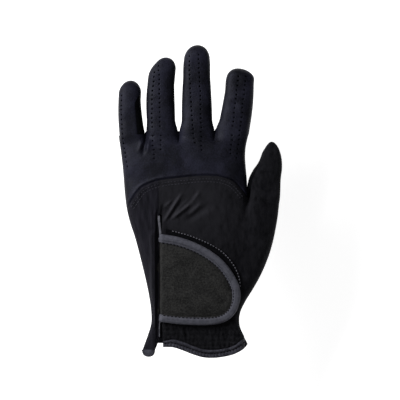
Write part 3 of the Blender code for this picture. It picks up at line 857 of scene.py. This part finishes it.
def make_looks():
    return {
        "leather": leather("bluish_black_leather", (0.0012, 0.0012, 0.0026), (0.0105, 0.0106, 0.0200), 0.55),
        "palm": leather("palm_leather_grain", (0.0020, 0.0020, 0.0028), (0.0070, 0.0070, 0.0095), 0.5),
        # The side strips are black knit, made darker still as painted shade for the shaded sides of the
        # digits
        "strip": knit("side_strip_knit_painted_shade", (0.0002, 0.0002, 0.0003), (0.0014, 0.0014, 0.0018), 1.1, sheen=0.0),
        # The back's knit gets painted light, paler round PAINTED_LIGHT_AT
        "back": knit("back_stretch_knit_with_painted_light", (0.0004, 0.0004, 0.0006), (0.0150, 0.0147, 0.0175), 0.9,
                     streak=(0.3, 0.12, 0.3), painted_light=0.3),
        "side": knit("side_panel_knit", (0.0045, 0.0045, 0.0060), (0.0190, 0.0180, 0.0250), 0.9,
                     streak=(0.35, 0.04, 1.0)),
        "elastic": knit("shirred_elastic", (0.0003, 0.0003, 0.0004), (0.0150, 0.0150, 0.0170), 0.7,
                        streak=(0.7, 0.45, 1.0)),
        "hem": tape("hem_tape", (0.0070, 0.0070, 0.0095), (0.0600, 0.0600, 0.0760)),
        "slit": tape("slit_tape", (0.045, 0.045, 0.055), (0.14, 0.14, 0.16)),
        "tab tape": tape("grey_tab_tape", (0.048, 0.049, 0.062), (0.092, 0.093, 0.112)),
        "felt": felt("tab_felt", (0.0070, 0.0070, 0.0069), (0.0360, 0.0357, 0.0345)),
        "loop": felt("loop_pile", (0.0004, 0.0004, 0.0006), (0.0032, 0.0032, 0.0040)),
        "hook": tape("hook_tape_fabric", (0.0040, 0.0040, 0.0050), (0.0110, 0.0110, 0.0130), pitch=2.2),
        "dark thread": thread_material("dark_thread", (0.0006, 0.0006, 0.0008), (0.0020, 0.0020, 0.0026)),
        "grey thread": thread_material("grey_thread", (0.07, 0.07, 0.08), (0.15, 0.15, 0.17)),
        "dim thread": thread_material("dim_thread", (0.020, 0.020, 0.026), (0.050, 0.050, 0.062)),
    }


looks = make_looks()


def grid(columns, rows):
    """Shares from 0 to 1 across and along a grid of points."""
    return np.meshgrid(np.linspace(0, 1, columns), np.linspace(0, 1, rows))


# ---- hand panels

def edge_curve(outline, start, end):
    """Part of an outline between two values of y, as a plan curve."""
    def at(t):
        y = start + (end - start) * np.asarray(t, float)
        return np.stack([outline(y), y], -1)

    return at


def finger_line():
    """Base lines of the four fingers, joined into one line across the knuckles."""
    ends = []
    for name in FINGERS:
        digit = digits[name]
        ends += [corner(digit, 0), corner(digit, 1)]
    knots = np.concatenate([[0.0], np.cumsum(np.linalg.norm(np.diff(ends, axis=0), axis=1))])
    knots /= knots[-1]
    ends = np.array(ends)

    def at(t):
        return np.stack([np.interp(t, knots, ends[:, axis]) for axis in (0, 1)], -1)

    return at


def hole_centres():
    """Where the holes are punched, as plan points, evenly along each row."""
    centres = []
    for name, rows in HOLE_ROWS.items():
        digit = digits[name]
        for row in rows:
            curve = path([digit.base + digit.side * s + digit.ahead * a for s, a in row])
            count = int(length_of(curve) / HOLE_PITCH)
            centres += [tuple(spot) for spot in curve(np.linspace(0, 1, count + 1))]
    return centres


def knuckle_panel(centres):
    top = finger_line()
    left = edge_curve(ulnar, float(arc(0)[1]), float(top(0)[1]))
    right = edge_curve(hand_side, float(arc(1)[1]), float(top(1)[1]))
    plan = patch(left, right, arc, top, 168, 84, dense_both)
    panel("knuckle_leather_skin", lift(plan, on_back), LEATHER, "leather", "hand",
          "knuckle_leather", centres=centres)


def side_panel():
    """Ulnar side of the back, with the folded hem along the slit and the tail that runs past the wrist."""
    seam = part_of(arc, 0, slit_share)
    node = "side_panel"
    tail_rows = np.linspace(low(node)[1] + 0.4, wrist_y - 1.5, 5)
    outer = [(crossing(node, 1, y)[:, 0].min(), y) for y in tail_rows]
    inner = [(crossing(node, 1, y)[:, 0].max(), y) for y in tail_rows]
    top_y = float(seam(1)[1])
    tail_side = path([*outer, (float(ulnar(wrist_y + 1)), wrist_y + 1)])
    left = joined(tail_side, edge_curve(ulnar, wrist_y + 1, float(seam(0)[1])), 0.07)
    right = path(inner + [(slit_x, y) for y in (wrist_y + 3, -103, -90, -70, -50, -30, -10, top_y)])
    bottom = path([outer[0], inner[0]])
    plan = patch(left, right, bottom, seam, 56, 190, dense_end)
    tab_low, tab_high = low("tab_binding")[1], high("tab_binding")[1]

    def height(x, y):
        from_slit = slit_x - x
        base = on_back(x, y)
        base = base + (tail_level(x) + 0.4 - base) * ease(wrist_y + 1.0, wrist_y - 6.0, y)
        below = 1 - ease(slit_top - 2, slit_top + 8, y)
        roll = ease(SIDE_HEM, SIDE_HEM + 1.0, from_slit) * (1 - ease(5.0, 9.0, from_slit))
        groove = 1 - ease(SIDE_HEM - 0.9, SIDE_HEM + 0.1, from_slit)
        streak = 0.22 * np.sin((x * 0.97 + y * 0.26) * 1.05 + 1.3 * lumps(x, y, 0 * x, 22, 11))
        inside = ease(2.0, 6.0, x - ulnar(y)) * ease(2.5, 6.0, from_slit)
        by_tab = ease(tab_low - 4, tab_low + 2, y) * (1 - ease(tab_high - 2, tab_high + 4, y))
        roll = roll * ease(0.3, 3.5, x - ulnar(y))
        return base + below * (roll * (0.6 + 1.5 * by_tab) - 1.7 * groove) + streak * inside

    panel("side_panel_skin", lift(plan, height), FABRIC, "side", "hand", node)
    hem_line = path([(slit_x - SIDE_HEM - 2.6, y) for y in np.linspace(-112, slit_top + 4, 8)])
    rows = [offset(part_of(arc, 0.02, slit_share), away) for away in ARC_ROWS]
    stitches("side_hem_stitches", "hand", [hem_line], height, "dark thread", thread=0.2)
    stitches("side_seam_stitches", "hand", rows, height, "dim thread", thread=0.26)


def back_panel():
    seam = offset(part_of(arc, slit_share, 1.0), 0.15)
    thumb_edge = offset(thumb_line, 0.15)
    top = joined(seam, path([seam(1.0), *(thumb_edge(share) for share in (0.25, 0.5, 0.75, 1.0))]), 0.78)
    slit_end = (tape_edge, slit_top + 0.3)
    high_part = path([slit_end, (slit_x + 0.3, slit_end[1] + 2.0), (slit_x + 0.2, float(seam(0)[1]))])
    left = joined(path([(tape_edge, back_low), slit_end]), high_part, 0.79)
    right = edge_curve(radial, back_low, float(top(1.0)[1]))
    bottom = path([(tape_edge, back_low), tuple(right(0.0))])
    plan = patch(left, right, bottom, top, 150, 176, dense_end)
    # Fold heights of the gathers, kept as a painted highlight on crests and painted shade in furrows
    fold_shading = folds(plan[..., 0], plan[..., 1], (slit_x - 0.5, slit_top + 0.3), GATHERS)
    panel("back_panel_skin", lift(plan, on_back), FABRIC, "back", "hand", "back_panel",
          fold_shading=np.clip(fold_shading, -0.6, 1.2))
    rows = [offset(part_of(arc, slit_share + 0.01, 0.985), away) for away in ARC_ROWS]
    stitches("arc_seam_stitches", "hand", rows, on_back, "dim thread", thread=0.26)


def palm_panel():
    """Palm leather, with the creases of a worn glove, on the ground side."""
    top = finger_line()
    left = edge_curve(ulnar, wrist_y, float(top(0)[1]))
    across = path([thumb_line(1.0), thumb_line(0.5), thumb_line(0.0)])
    wrist_part = edge_curve(radial, wrist_y, float(across(0)[1]))
    upper = edge_curve(hand_side, float(across(1)[1]) + 0.2, float(top(1)[1]))
    right = joined(wrist_part, joined(across, upper, 1 / 6), 10 / 16)
    bottom = path([tuple(left(0.0)), tuple(wrist_part(0.0))])
    plan = patch(left, right, bottom, top, 96, 160, dense_both)
    plan[0, :, 1] -= PALM_UNDER_HEM

    def height(x, y):
        inset = np.minimum(x - ulnar(y), np.where(y > 3, hand_side(y), radial(y)) - x)
        crease = 0.9 * np.exp(-((y - 34 + 0.12 * x) / 1.6) ** 2)
        crease += 0.7 * np.exp(-((y - 8 - 0.3 * x) / 1.8) ** 2)
        wavy = 0.35 + 0.3 * lumps(x, y, 0 * x, 16, 21) + 0.12 * lumps(x, y, 0 * x, 5, 22)
        inner = ease(1.0, 8.0, inset)
        level = palm_surface(x, y) + np.maximum(wavy + crease, 0) * inner
        level = level + (widest * (1 - root_rise(x, y)) - level) * root_share(y)
        by_thumb = 1 - ease(0.5, 8.0, distance(thumb_line, x, y))
        level = level + (under_thumb(x, y) - level) * by_thumb
        return np.minimum(level, widest - 0.1)

    panel("palm_leather_skin", lift(plan, height), LEATHER, "palm", "hand", "palm_leather",
          flip=True)


# ---- wrist

def hem_borders():
    """Upper and lower edges of the wrist hem, as plan curves from the slit to the thumb side."""
    node = "cuff_binding_back"
    spots = vertices(node)
    start, end = spots[:, 0].min() + 0.3, spots[:, 0].max()
    right = spots[spots[:, 0] > end - 8]
    top_corner = right[np.argmax(right[:, 1])][:2]
    low_corner = spots[np.argmax(spots[:, 0])][:2] - (HEM_TRIM, 0.0)
    xs = np.linspace(start, top_corner[0] - 1.5, 9)
    upper = path([(x, crossing(node, 0, x)[:, 1].max()) for x in xs] + [top_corner])
    xs = np.linspace(start, low_corner[0] - 3.0, 9)
    lower = path([(x, crossing(node, 0, x)[:, 1].min()) for x in xs] + [low_corner])
    return upper, lower


def wrist_pieces():
    upper, lower = hem_borders()
    left = path([tuple(upper(0.0) - (0, 2.0)), (tape_edge, back_low - 0.3)])
    right_rows = np.linspace(wrist_y + 1.5, back_low - 0.3, 5)
    right = path([tuple(upper(1.0) - (0.6, 2.0))] + [(float(radial(y)), y) for y in right_rows])
    top = path([(tape_edge, back_low - 0.3), (0, back_low - 0.3), tuple(right(1.0))])
    plan = patch(left, right, offset(upper, 2.0), top, 150, 50, dense_end)

    hem_top = upper(np.linspace(0, 1, 60))

    def gathered(x, y):
        """Rows of elastic thread pull the cloth into short upright puckers."""
        puckers = lumps(x * 2.2, y * 0.8, 0 * x, 4.4, 31) * (0.45 + 0.25 * lumps(x, y, 0 * x, 12, 32))
        rows = np.cos((y + 0.5 * lumps(x, y, 0 * x, 14, 33)) * 2 * math.pi / 4.2)
        inset = ease(0.3, 4.0, radial(y) - x)
        puckers = puckers - 1.2 * np.exp(-((x - tape_edge) / 1.2) ** 2)
        under = ease(1.2, -0.6, y - np.interp(x, hem_top[:, 0], hem_top[:, 1]))
        crinkle = (0.9 * puckers + 0.25 * rows) * inset * (1 - under) - 0.9 * under
        return np.maximum(hand_surface(x, y) - 0.4 + crinkle, widest + 0.2)

    panel("wrist_elastic_skin", lift(plan, gathered), ELASTIC, "elastic", "hand", "wrist_elastic")
    hem_back(upper, lower)
    hem_palm()
    slit_tape()
    tail_tip()


def hem_back(upper, lower):
    """Wrist hem: a rounded upper roll, a stitched valley and a lower band drawn into ribs."""
    u, v = grid(301, 17)
    plan = lower(u) * (1 - v)[..., None] + upper(u) * v[..., None]
    total = length_of(upper)
    rib = np.sin(u * total / 2.5 * 2 * math.pi + 0.8 * lumps(u * total, 0 * u, 0 * u, 16, 41))
    roll = np.where(v > 0.62, np.sqrt(np.clip(1 - ((v - 0.81) / 0.19) ** 2, 0, 1)), 0)
    band = np.where(v < 0.5, np.sqrt(np.clip(1 - ((v - 0.25) / 0.25) ** 2, 0, 1)), 0)
    x, y = plan[..., 0], plan[..., 1]
    base = np.maximum(hand_surface(x, y), widest + 1.9)
    edge = ease(0.0, 0.04, u) * ease(0.0, 0.05, 1 - u)
    z = base - 0.5 + (0.95 * roll + band * (0.8 + 0.28 * rib) + 0.1 * rib * roll) * (0.35 + 0.65 * edge)
    z += 0.3 * np.sin(u * total / 22 * 2 * math.pi)
    panel("wrist_hem_back", np.stack([x, y, z], -1), TAPE, "hem", "hand", "cuff_binding_back")

    def valley(x, y):
        return np.maximum(hand_surface(x, y), widest + 1.9) - 0.25

    def middle(t):
        return lower(t) * 0.44 + upper(t) * 0.56

    stitches("wrist_hem_stitches", "hand", [part_of(middle, 0.01, 0.985)], valley, "dark thread", pitch=2.5,
             thread=0.42, length=1.5)


def hem_palm():
    node = "cuff_binding_palm"
    y_low, y_high = low(node)[1], high(node)[1]
    u, v = grid(121, 11)
    x = low(node)[0] + (high(node)[0] - low(node)[0]) * dense_both(u)
    y = y_low + (y_high - y_low) * v
    z = np.minimum(palm_surface(x, y), widest - 0.2)
    z = z + 0.45 * np.abs(2 * v - 1) ** 2.5 * (z < 1)
    panel("wrist_hem_palm", np.stack([x, y, z], -1), TAPE, "hem", "hand", node, flip=True)


def slit_tape():
    """Tape that binds the open edge of the slit; beside the tab it is sunk and thin."""
    node = "slit_binding"
    x_low, x_high = low(node)[0] - 0.1, high(node)[0] + 0.1
    y_low, y_high = low(node)[1] + 1.5, high(node)[1]
    u, v = grid(9, 220)
    y = y_low + (y_high - y_low) * v
    bend = -1.0 + 1.2 * ease(y_high - 1, y_high - 15, y)
    bend = bend + 1.6 * ease(y_high - 15, y_high - 22, y) * (1 - ease(-86, -100, y))
    bend = bend - 0.3 * ease(-86, -100, y)
    slim = 0.85 - 0.5 * ease(y_high - 16, y_high - 30, y)
    sunk = 2.2 * ease(y_high - 16, y_high - 24, y) * (1 - 0.6 * ease(-94, -102, y))
    x = x_low + (x_high - x_low) * u * slim + bend
    z = hand_surface(x, y) + 0.55 * np.sqrt(np.clip(1 - (2 * u - 1) ** 2, 0, 1)) - 0.1
    z = np.where(y < y_high - 1.2, z, z - 0.5 * (y - y_high + 1.2)) - sunk
    panel("slit_binding_tape", np.stack([x, y, z], -1), 0.9, "slit", "hand", node)


def tail_tip():
    """Bound tip of the side panel's tail."""
    node = "tail_binding"
    spots = vertices(node)
    x_low, x_high = spots[:, 0].min(), spots[:, 0].max()
    y_low, y_high = spots[:, 1].min(), spots[:, 1].max() + 1.2
    u, v = grid(45, 17)

    def bow(share):
        return np.sqrt(np.clip(1 - (2 * share - 1) ** 2 * 0.97, 0, 1)) ** 0.7

    x = x_low + (x_high - x_low) * u
    y = y_high - (y_high - y_low) * (1 - v) * bow(u)
    z = tail_level(x) + 0.9 + 0.4 * np.sin(v * math.pi)
    panel("tail_tip_binding", np.stack([x, y, z], -1), TAPE, "hem", "hand", node)

    def tip_line(t):
        along = 0.06 + 0.88 * np.asarray(t, float)
        return np.stack([x_low + (x_high - x_low) * along, y_high - (y_high - y_low) * 0.45 * bow(along)], -1)

    stitches("tail_tip_stitches", "hand", [tip_line], lambda x, y: tail_level(x) + 1.25, "dim thread",
             thread=0.26, pitch=1.9, length=1.3)


def tail_level(x):
    """Top of the tail across its width, held level past its corners."""
    x = np.clip(x, low("tail_binding")[0] + 1.5, high("tail_binding")[0] - 1.5)
    cut = crossing("tail_binding", 1, high("tail_binding")[1] - 0.4)
    order = np.argsort(cut[:, 0])
    xs = cut[order, 0]
    tops = [cut[np.abs(cut[:, 0] - value) < 1.2, 2].max() for value in xs]
    return np.polyval(np.polyfit(xs, tops, 2), x)


# ---- closing tab

def lifted(by):
    """Level above the back of the hand; near the thumb edge the stiff tab runs straight out."""
    def at(x, y):
        dive = TAB_DIVE * (1 - ease(0.0, TAB_DIVE_LENGTH, x - slit_x - TAB_GAP))
        return hand_surface(np.minimum(x, radial(y) - 9.0), y) + by - dive

    return at


def d_patch(outline, left_x, count):
    """Plan grid inside a D outline that runs from its top left round to its bottom left."""
    def clipped(t):
        spots = outline(t)
        return np.stack([np.maximum(spots[..., 0], left_x), spots[..., 1]], -1)

    top, bottom = part_of(clipped, 0.0, 0.24), part_of(clipped, 1.0, 0.74)
    right = part_of(clipped, 0.74, 0.24)
    left = path([(left_x, float(clipped(1.0)[1])), (left_x, float(clipped(0.0)[1]))])
    return patch(left, right, bottom, top, count, count)


def node_lift(node):
    """Level of the top of a tab layer above the back of the hand, at its middle."""
    middle = (low(node) + high(node)) / 2
    cut = crossing(node, 1, middle[1])
    near = cut[np.abs(cut[:, 0] - middle[0]) < 6]
    return near[:, 2].max() - float(hand_surface(middle[0], middle[1]))


def tab_pieces():
    outline = offset(path(hull("tab_binding")), TAB_TRIM)
    tab_top = node_lift("closure_tab")
    left_x = slit_x + TAB_GAP

    felt_level = lifted(tab_top)
    felt_edge = offset(outline, TAB_TAPE + 0.5)

    def felt_height(x, y):
        near = distance(felt_edge, x, y)
        return (felt_level(x, y) - 0.6 + 0.6 * ease(0.3, 5.0, near) + 0.12 * lumps(x, y, 0 * x, 14, 51)
                - 0.3 * np.exp(-((near - TAB_FLANGE) / 0.7) ** 2))

    plan = d_patch(felt_edge, left_x, 110)
    panel("closure_tab_felt", lift(plan, felt_height), 0.8, "felt", "tab", "closure_tab")

    tape_ring(outline, tab_top)
    loop_outline = offset(path(hull("loop_pad")), -1.0)
    plan = d_patch(loop_outline, low("loop_pad")[0], 60)
    pad_top = node_lift("loop_pad")
    panel("loop_pad_pile", lift(plan, lifted(pad_top)), 0.5, "loop", "hand", "loop_pad")
    row = part_of(offset(loop_outline, 0.6), 0.03, 0.52)
    stitches("loop_pad_stitches", "hand", [row], lifted(pad_top), "grey thread", thread=0.42)

    hook_outline = path(hull("hook_pad"))
    plan = d_patch(hook_outline, low("hook_pad")[0], 50)
    hook_level = lifted(node_lift("hook_pad"))
    panel("hook_pad_tape", lift(plan, hook_level), 0.5, "hook", "tab", "hook_pad")

    anchor_low, anchor_high = low("tab_anchor"), high("tab_anchor")
    u, v = grid(7, 60)
    x = anchor_low[0] + (anchor_high[0] - anchor_low[0]) * u
    y = anchor_low[1] + (anchor_high[1] - anchor_low[1]) * v
    panel("tab_root", np.stack([x, y, hand_surface(x, y) - 2.0], -1), 0.8, "felt", "hand",
          "tab_anchor")


def tape_ring(outline, tab_top):
    """Grey tape round the tab: a soft roll, a stitched groove and a flange that fades at the bottom."""
    u, v = grid(321, 23)
    flange = TAB_FLANGE * (1 - 0.75 * ease(0.42, 0.6, u)) * ease(-0.02, 0.03, u)
    inward = v * (TAB_TAPE + flange)
    plan = offset(outline, inward)(u)
    plan[..., 0] = np.maximum(plan[..., 0], slit_x + TAB_GAP)
    across = inward / TAB_TAPE
    roll = np.sqrt(np.clip(1 - (2 * np.clip(across, 0, 1) - 1) ** 4, 0, 1))
    over_flange = np.clip((inward - TAB_TAPE) / np.maximum(flange, 0.1), 0, 1)
    ridge = np.where(across > 1, np.sin(over_flange * math.pi), 0)
    x, y = plan[..., 0], plan[..., 1]
    wave = 0.07 * lumps(u * 300, v * 4, 0 * u, 9, 61)
    groove = np.exp(-((inward - TAB_TAPE) / 0.6) ** 2)
    level = lifted(tab_top)
    z = level(x, y) - 0.75 + 1.15 * roll + 0.8 * np.minimum(ridge, 1) - 0.8 * groove + wave * roll
    panel("tab_binding_tape", np.stack([x, y, z], -1), 1.0, "tab tape", "tab", "tab_binding")
    inner = part_of(offset(outline, TAB_TAPE + 0.35), 0.01, 0.99)
    second = part_of(offset(outline, TAB_TAPE + TAB_FLANGE + 0.6), 0.015, 0.5)
    stitches("tab_stitches", "tab", [inner, second], lambda x, y: level(x, y) - 0.3, "dark thread",
             thread=0.62, pitch=2.7, length=2.1)


# ---- fingers and thumb

def side_room(digit, way, along):
    """How far one side of a digit stands out past its straight taper."""
    flare = digit.flare[way] * np.exp(-(along * digit.length / digit.flare_length) ** 2)
    bow = digit.plump[way] * np.sin(np.pi * np.clip(along, 0, 1)) ** 1.5
    web = thumb_web(along) if digit is thumb and way == 0 else 0.0
    return flare + bow + web - digit.tip_cut[way] * ease(0.76, 0.95, along)


def tube(digit, angle, along):
    """Points on the skin of a digit: angle in degrees round it from its right side, along 0 to 1."""
    cap = 1 - digit.dome / digit.length
    closing = np.sqrt(np.clip(1 - (np.maximum(along - cap, 0.0) / (1 - cap)) ** 2, 0.0, 1.0))
    share = ease(0, cap, along)
    half = (digit.wide + (digit.narrow - digit.wide) * share) / 2 * closing
    full = digit.tall - TIP_DROP * share
    turn = np.radians(angle)
    power = 2 / DIGIT_SQUARE
    out = np.sign(np.cos(turn)) * np.abs(np.cos(turn)) ** power * half
    rise = np.abs(np.sin(turn)) ** power * closing
    level = np.where(np.sin(turn) >= 0, widest + (full - widest) * rise, widest * (1 - rise))
    extra = np.where(out < 0, side_room(digit, 0, along), side_room(digit, 1, along))
    sideways = out * (1 + extra * closing / np.maximum(half, 0.5)) + digit.drift * along ** 4
    spot = digit.base + digit.ahead * (digit.length * along)[..., None] + digit.side * sideways[..., None]
    return spot, level


def skin(name, angle, along):
    """Points on a digit with its root blended into the hand, and its lumps."""
    digit = digits[name]
    spot, level = tube(digit, angle, along)
    x, y = spot[..., 0], spot[..., 1]
    upper = ease(0.0, 22.0, np.where(angle > 90, 180 - angle, angle))
    upper = np.where((angle > 0) & (angle < 180), upper, 0.0)
    near = 1 - ease(0.0, ROOT_BLEND, along * digit.length)
    base_x = x - digit.ahead[0] * digit.length * along
    base_y = y - digit.ahead[1] * digit.length * along
    root = hand_surface(base_x, base_y) + relief(base_x, base_y)
    level = level + (root - level) * near * upper
    fade = ease(0.0, 0.2, along) * np.clip(np.sin(np.radians(np.clip(angle, 0, 180))), 0, 1)
    seed = 100 + list(digits).index(name) * 7
    bumps = 0.3 * lumps(x, y, level, 11, seed) + 0.12 * lumps(x, y, level, 4.5, seed + 1)
    level = level + bumps * fade
    return np.concatenate([spot, np.maximum(level, 0.0)[..., None]], -1)


def closed_share(along):
    return ease(SIDE_TAPER, SIDE_END, along)


def stations(digit, count, tip_count=9):
    """Where the cross sections stand along a digit: evenly, then closer round the tip."""
    cap = 1 - digit.dome / digit.length
    angles = np.linspace(0, 88, tip_count)[1:]
    return np.concatenate([np.linspace(0, cap, count), cap + (1 - cap) * np.sin(np.radians(angles))])


def even_angles(digit, start, end, count):
    """Angles that stand evenly along the cross section of a digit, as shares from start to end."""
    fine = np.linspace(0, 1, 600)
    turn = np.radians(start + (end - start) * fine)
    power = 2 / DIGIT_SQUARE
    across = np.sign(np.cos(turn)) * np.abs(np.cos(turn)) ** power * digit.wide / 2
    up = np.sign(np.sin(turn)) * np.abs(np.sin(turn)) ** power * (digit.tall - widest)
    run = np.concatenate([[0], np.cumsum(np.hypot(np.diff(across), np.diff(up)))])
    return np.interp(np.linspace(0, run[-1], count + 1), run, fine)


def digit_half(name, node, first, last, shift, look, slot, centres=(), columns=60):
    """Upper or lower half of a digit between two seam angles that close on each other at the tip."""
    digit = digits[name]
    along = stations(digit, max(int(digit.length / LEATHER_GRID), 10), 16)
    closed = closed_share(along)
    share = even_angles(digit, first[0], last[0], columns)
    start, end = first[0] + (first[1] - first[0]) * closed, last[0] + (last[1] - last[0]) * closed
    angle = start[:, None] + (end - start)[:, None] * share[None]
    spots = skin(name, angle, np.repeat(along[:, None], columns + 1, 1))
    steps = np.arange(columns + 1)
    edge = np.minimum(steps, columns - steps)[None]
    roll = 0.22 * np.exp(-(edge / 1.2) ** 2)
    spots[..., 2] += shift * closed[:, None] - math.copysign(1, shift) * roll
    spots[..., 2] = np.maximum(spots[..., 2], 0.0)
    panel(node + "_skin", spots, LEATHER, look, name, node, flip=True, centres=centres)


def side_strip(name, node, right_side):
    """The narrow strip between the back and the front of a digit, pointed before the tip."""
    along = np.linspace(0.0, SIDE_END, 100)
    closed = closed_share(along)
    low_angle = SIDE_DOWN * (1 - closed) - SEAM_ANGLE
    high_angle = digits[name].seam_up * (1 - closed) + SEAM_ANGLE
    share = np.linspace(0, 1, 15)
    angle = low_angle[:, None] + (high_angle - low_angle)[:, None] * share[None]
    if not right_side:
        angle = 180 - angle[:, ::-1]
    spots = skin(name, angle, np.repeat(along[:, None], 15, 1))
    sink = STRIP_SINK * (1 + np.sin(share * math.pi))[None]
    turn = np.radians(angle)
    spots[..., :2] -= digits[name].side * (np.cos(turn) * sink)[..., None]
    spots[..., 2] -= np.sin(turn) * sink
    panel(node + "_strip", spots, FABRIC, "strip", name, node, flip=True)


def digit_pieces(name, look, centres):
    """Back, front and side strips of a digit; without a strip on a side, the back wraps down to the front."""
    (left, right), up = digits[name].strips, digits[name].seam_up
    back = (up if right else SIDE_DOWN, 0.0), (180 - (up if left else SIDE_DOWN), 180.0)
    front = (180 - SIDE_DOWN, 180.0), (360 + SIDE_DOWN, 360.0)
    digit_half(name, stem(name) + "_back", *back, SEAM_STEP, look, "leather", centres)
    digit_half(name, stem(name) + "_front", *front, -SEAM_STEP, "palm", "palm_leather", columns=40)
    for strip, right_side in ((left, False), (right, True)):
        if strip:
            side_strip(name, strip, right_side)


# ---- studio

def studio():
    scene = bpy.context.scene
    scene.view_settings.view_transform = "Standard"
    floor_mesh = bpy.data.meshes.new("floor")
    reach, level = FLOOR_REACH * MM, FLOOR_LEVEL * MM
    floor_mesh.from_pydata([(-reach, -reach, level), (reach, -reach, level), (reach, reach, level),
                            (-reach, reach, level)], [], [(0, 1, 2, 3)])
    floor = bpy.data.objects.new("floor", floor_mesh)
    scene.collection.objects.link(floor)
    paint = bpy.data.materials.new("pale_floor")
    paint.use_nodes = True
    shader = paint.node_tree.nodes["Principled BSDF"]
    shader.inputs["Base Color"].default_value = (FLOOR_TONE, FLOOR_TONE, FLOOR_TONE, 1)
    shader.inputs["Roughness"].default_value = 0.9
    shader.inputs["Emission Color"].default_value = (1, 1, 1, 1)
    shader.inputs["Emission Strength"].default_value = FLOOR_GLOW
    floor_mesh.materials.append(paint)

    world = bpy.data.worlds.new("studio")
    scene.world = world
    world.use_nodes = True
    world.node_tree.nodes["Background"].inputs["Color"].default_value = (1, 1, 1, 1)
    world.node_tree.nodes["Background"].inputs["Strength"].default_value = SKY_LIGHT

    for name, spot, size, power in LAMPS:
        lamp = bpy.data.lights.new(name, "AREA")
        lamp.size = size
        lamp.energy = power
        obj = bpy.data.objects.new(name, lamp)
        obj.location = spot
        obj.rotation_euler = (-Vector(spot)).to_track_quat("-Z", "Y").to_euler()
        scene.collection.objects.link(obj)

    camera = bpy.data.cameras.new("camera")
    camera.lens, camera.sensor_width = LENS, SENSOR
    obj = bpy.data.objects.new("camera", camera)
    distance_up = VIEW_WIDTH * LENS / SENSOR + SILHOUETTE_LEVEL
    obj.location = Vector((*VIEW_CENTRE, distance_up)) * MM
    scene.collection.objects.link(obj)
    scene.camera = obj


def build():
    centres = hole_centres()
    knuckle_panel(centres)
    side_panel()
    back_panel()
    palm_panel()
    wrist_pieces()
    tab_pieces()
    for name in FINGERS:
        digit_pieces(name, "leather", centres)
    digit_pieces("thumb", "back", ())
    studio()


build()
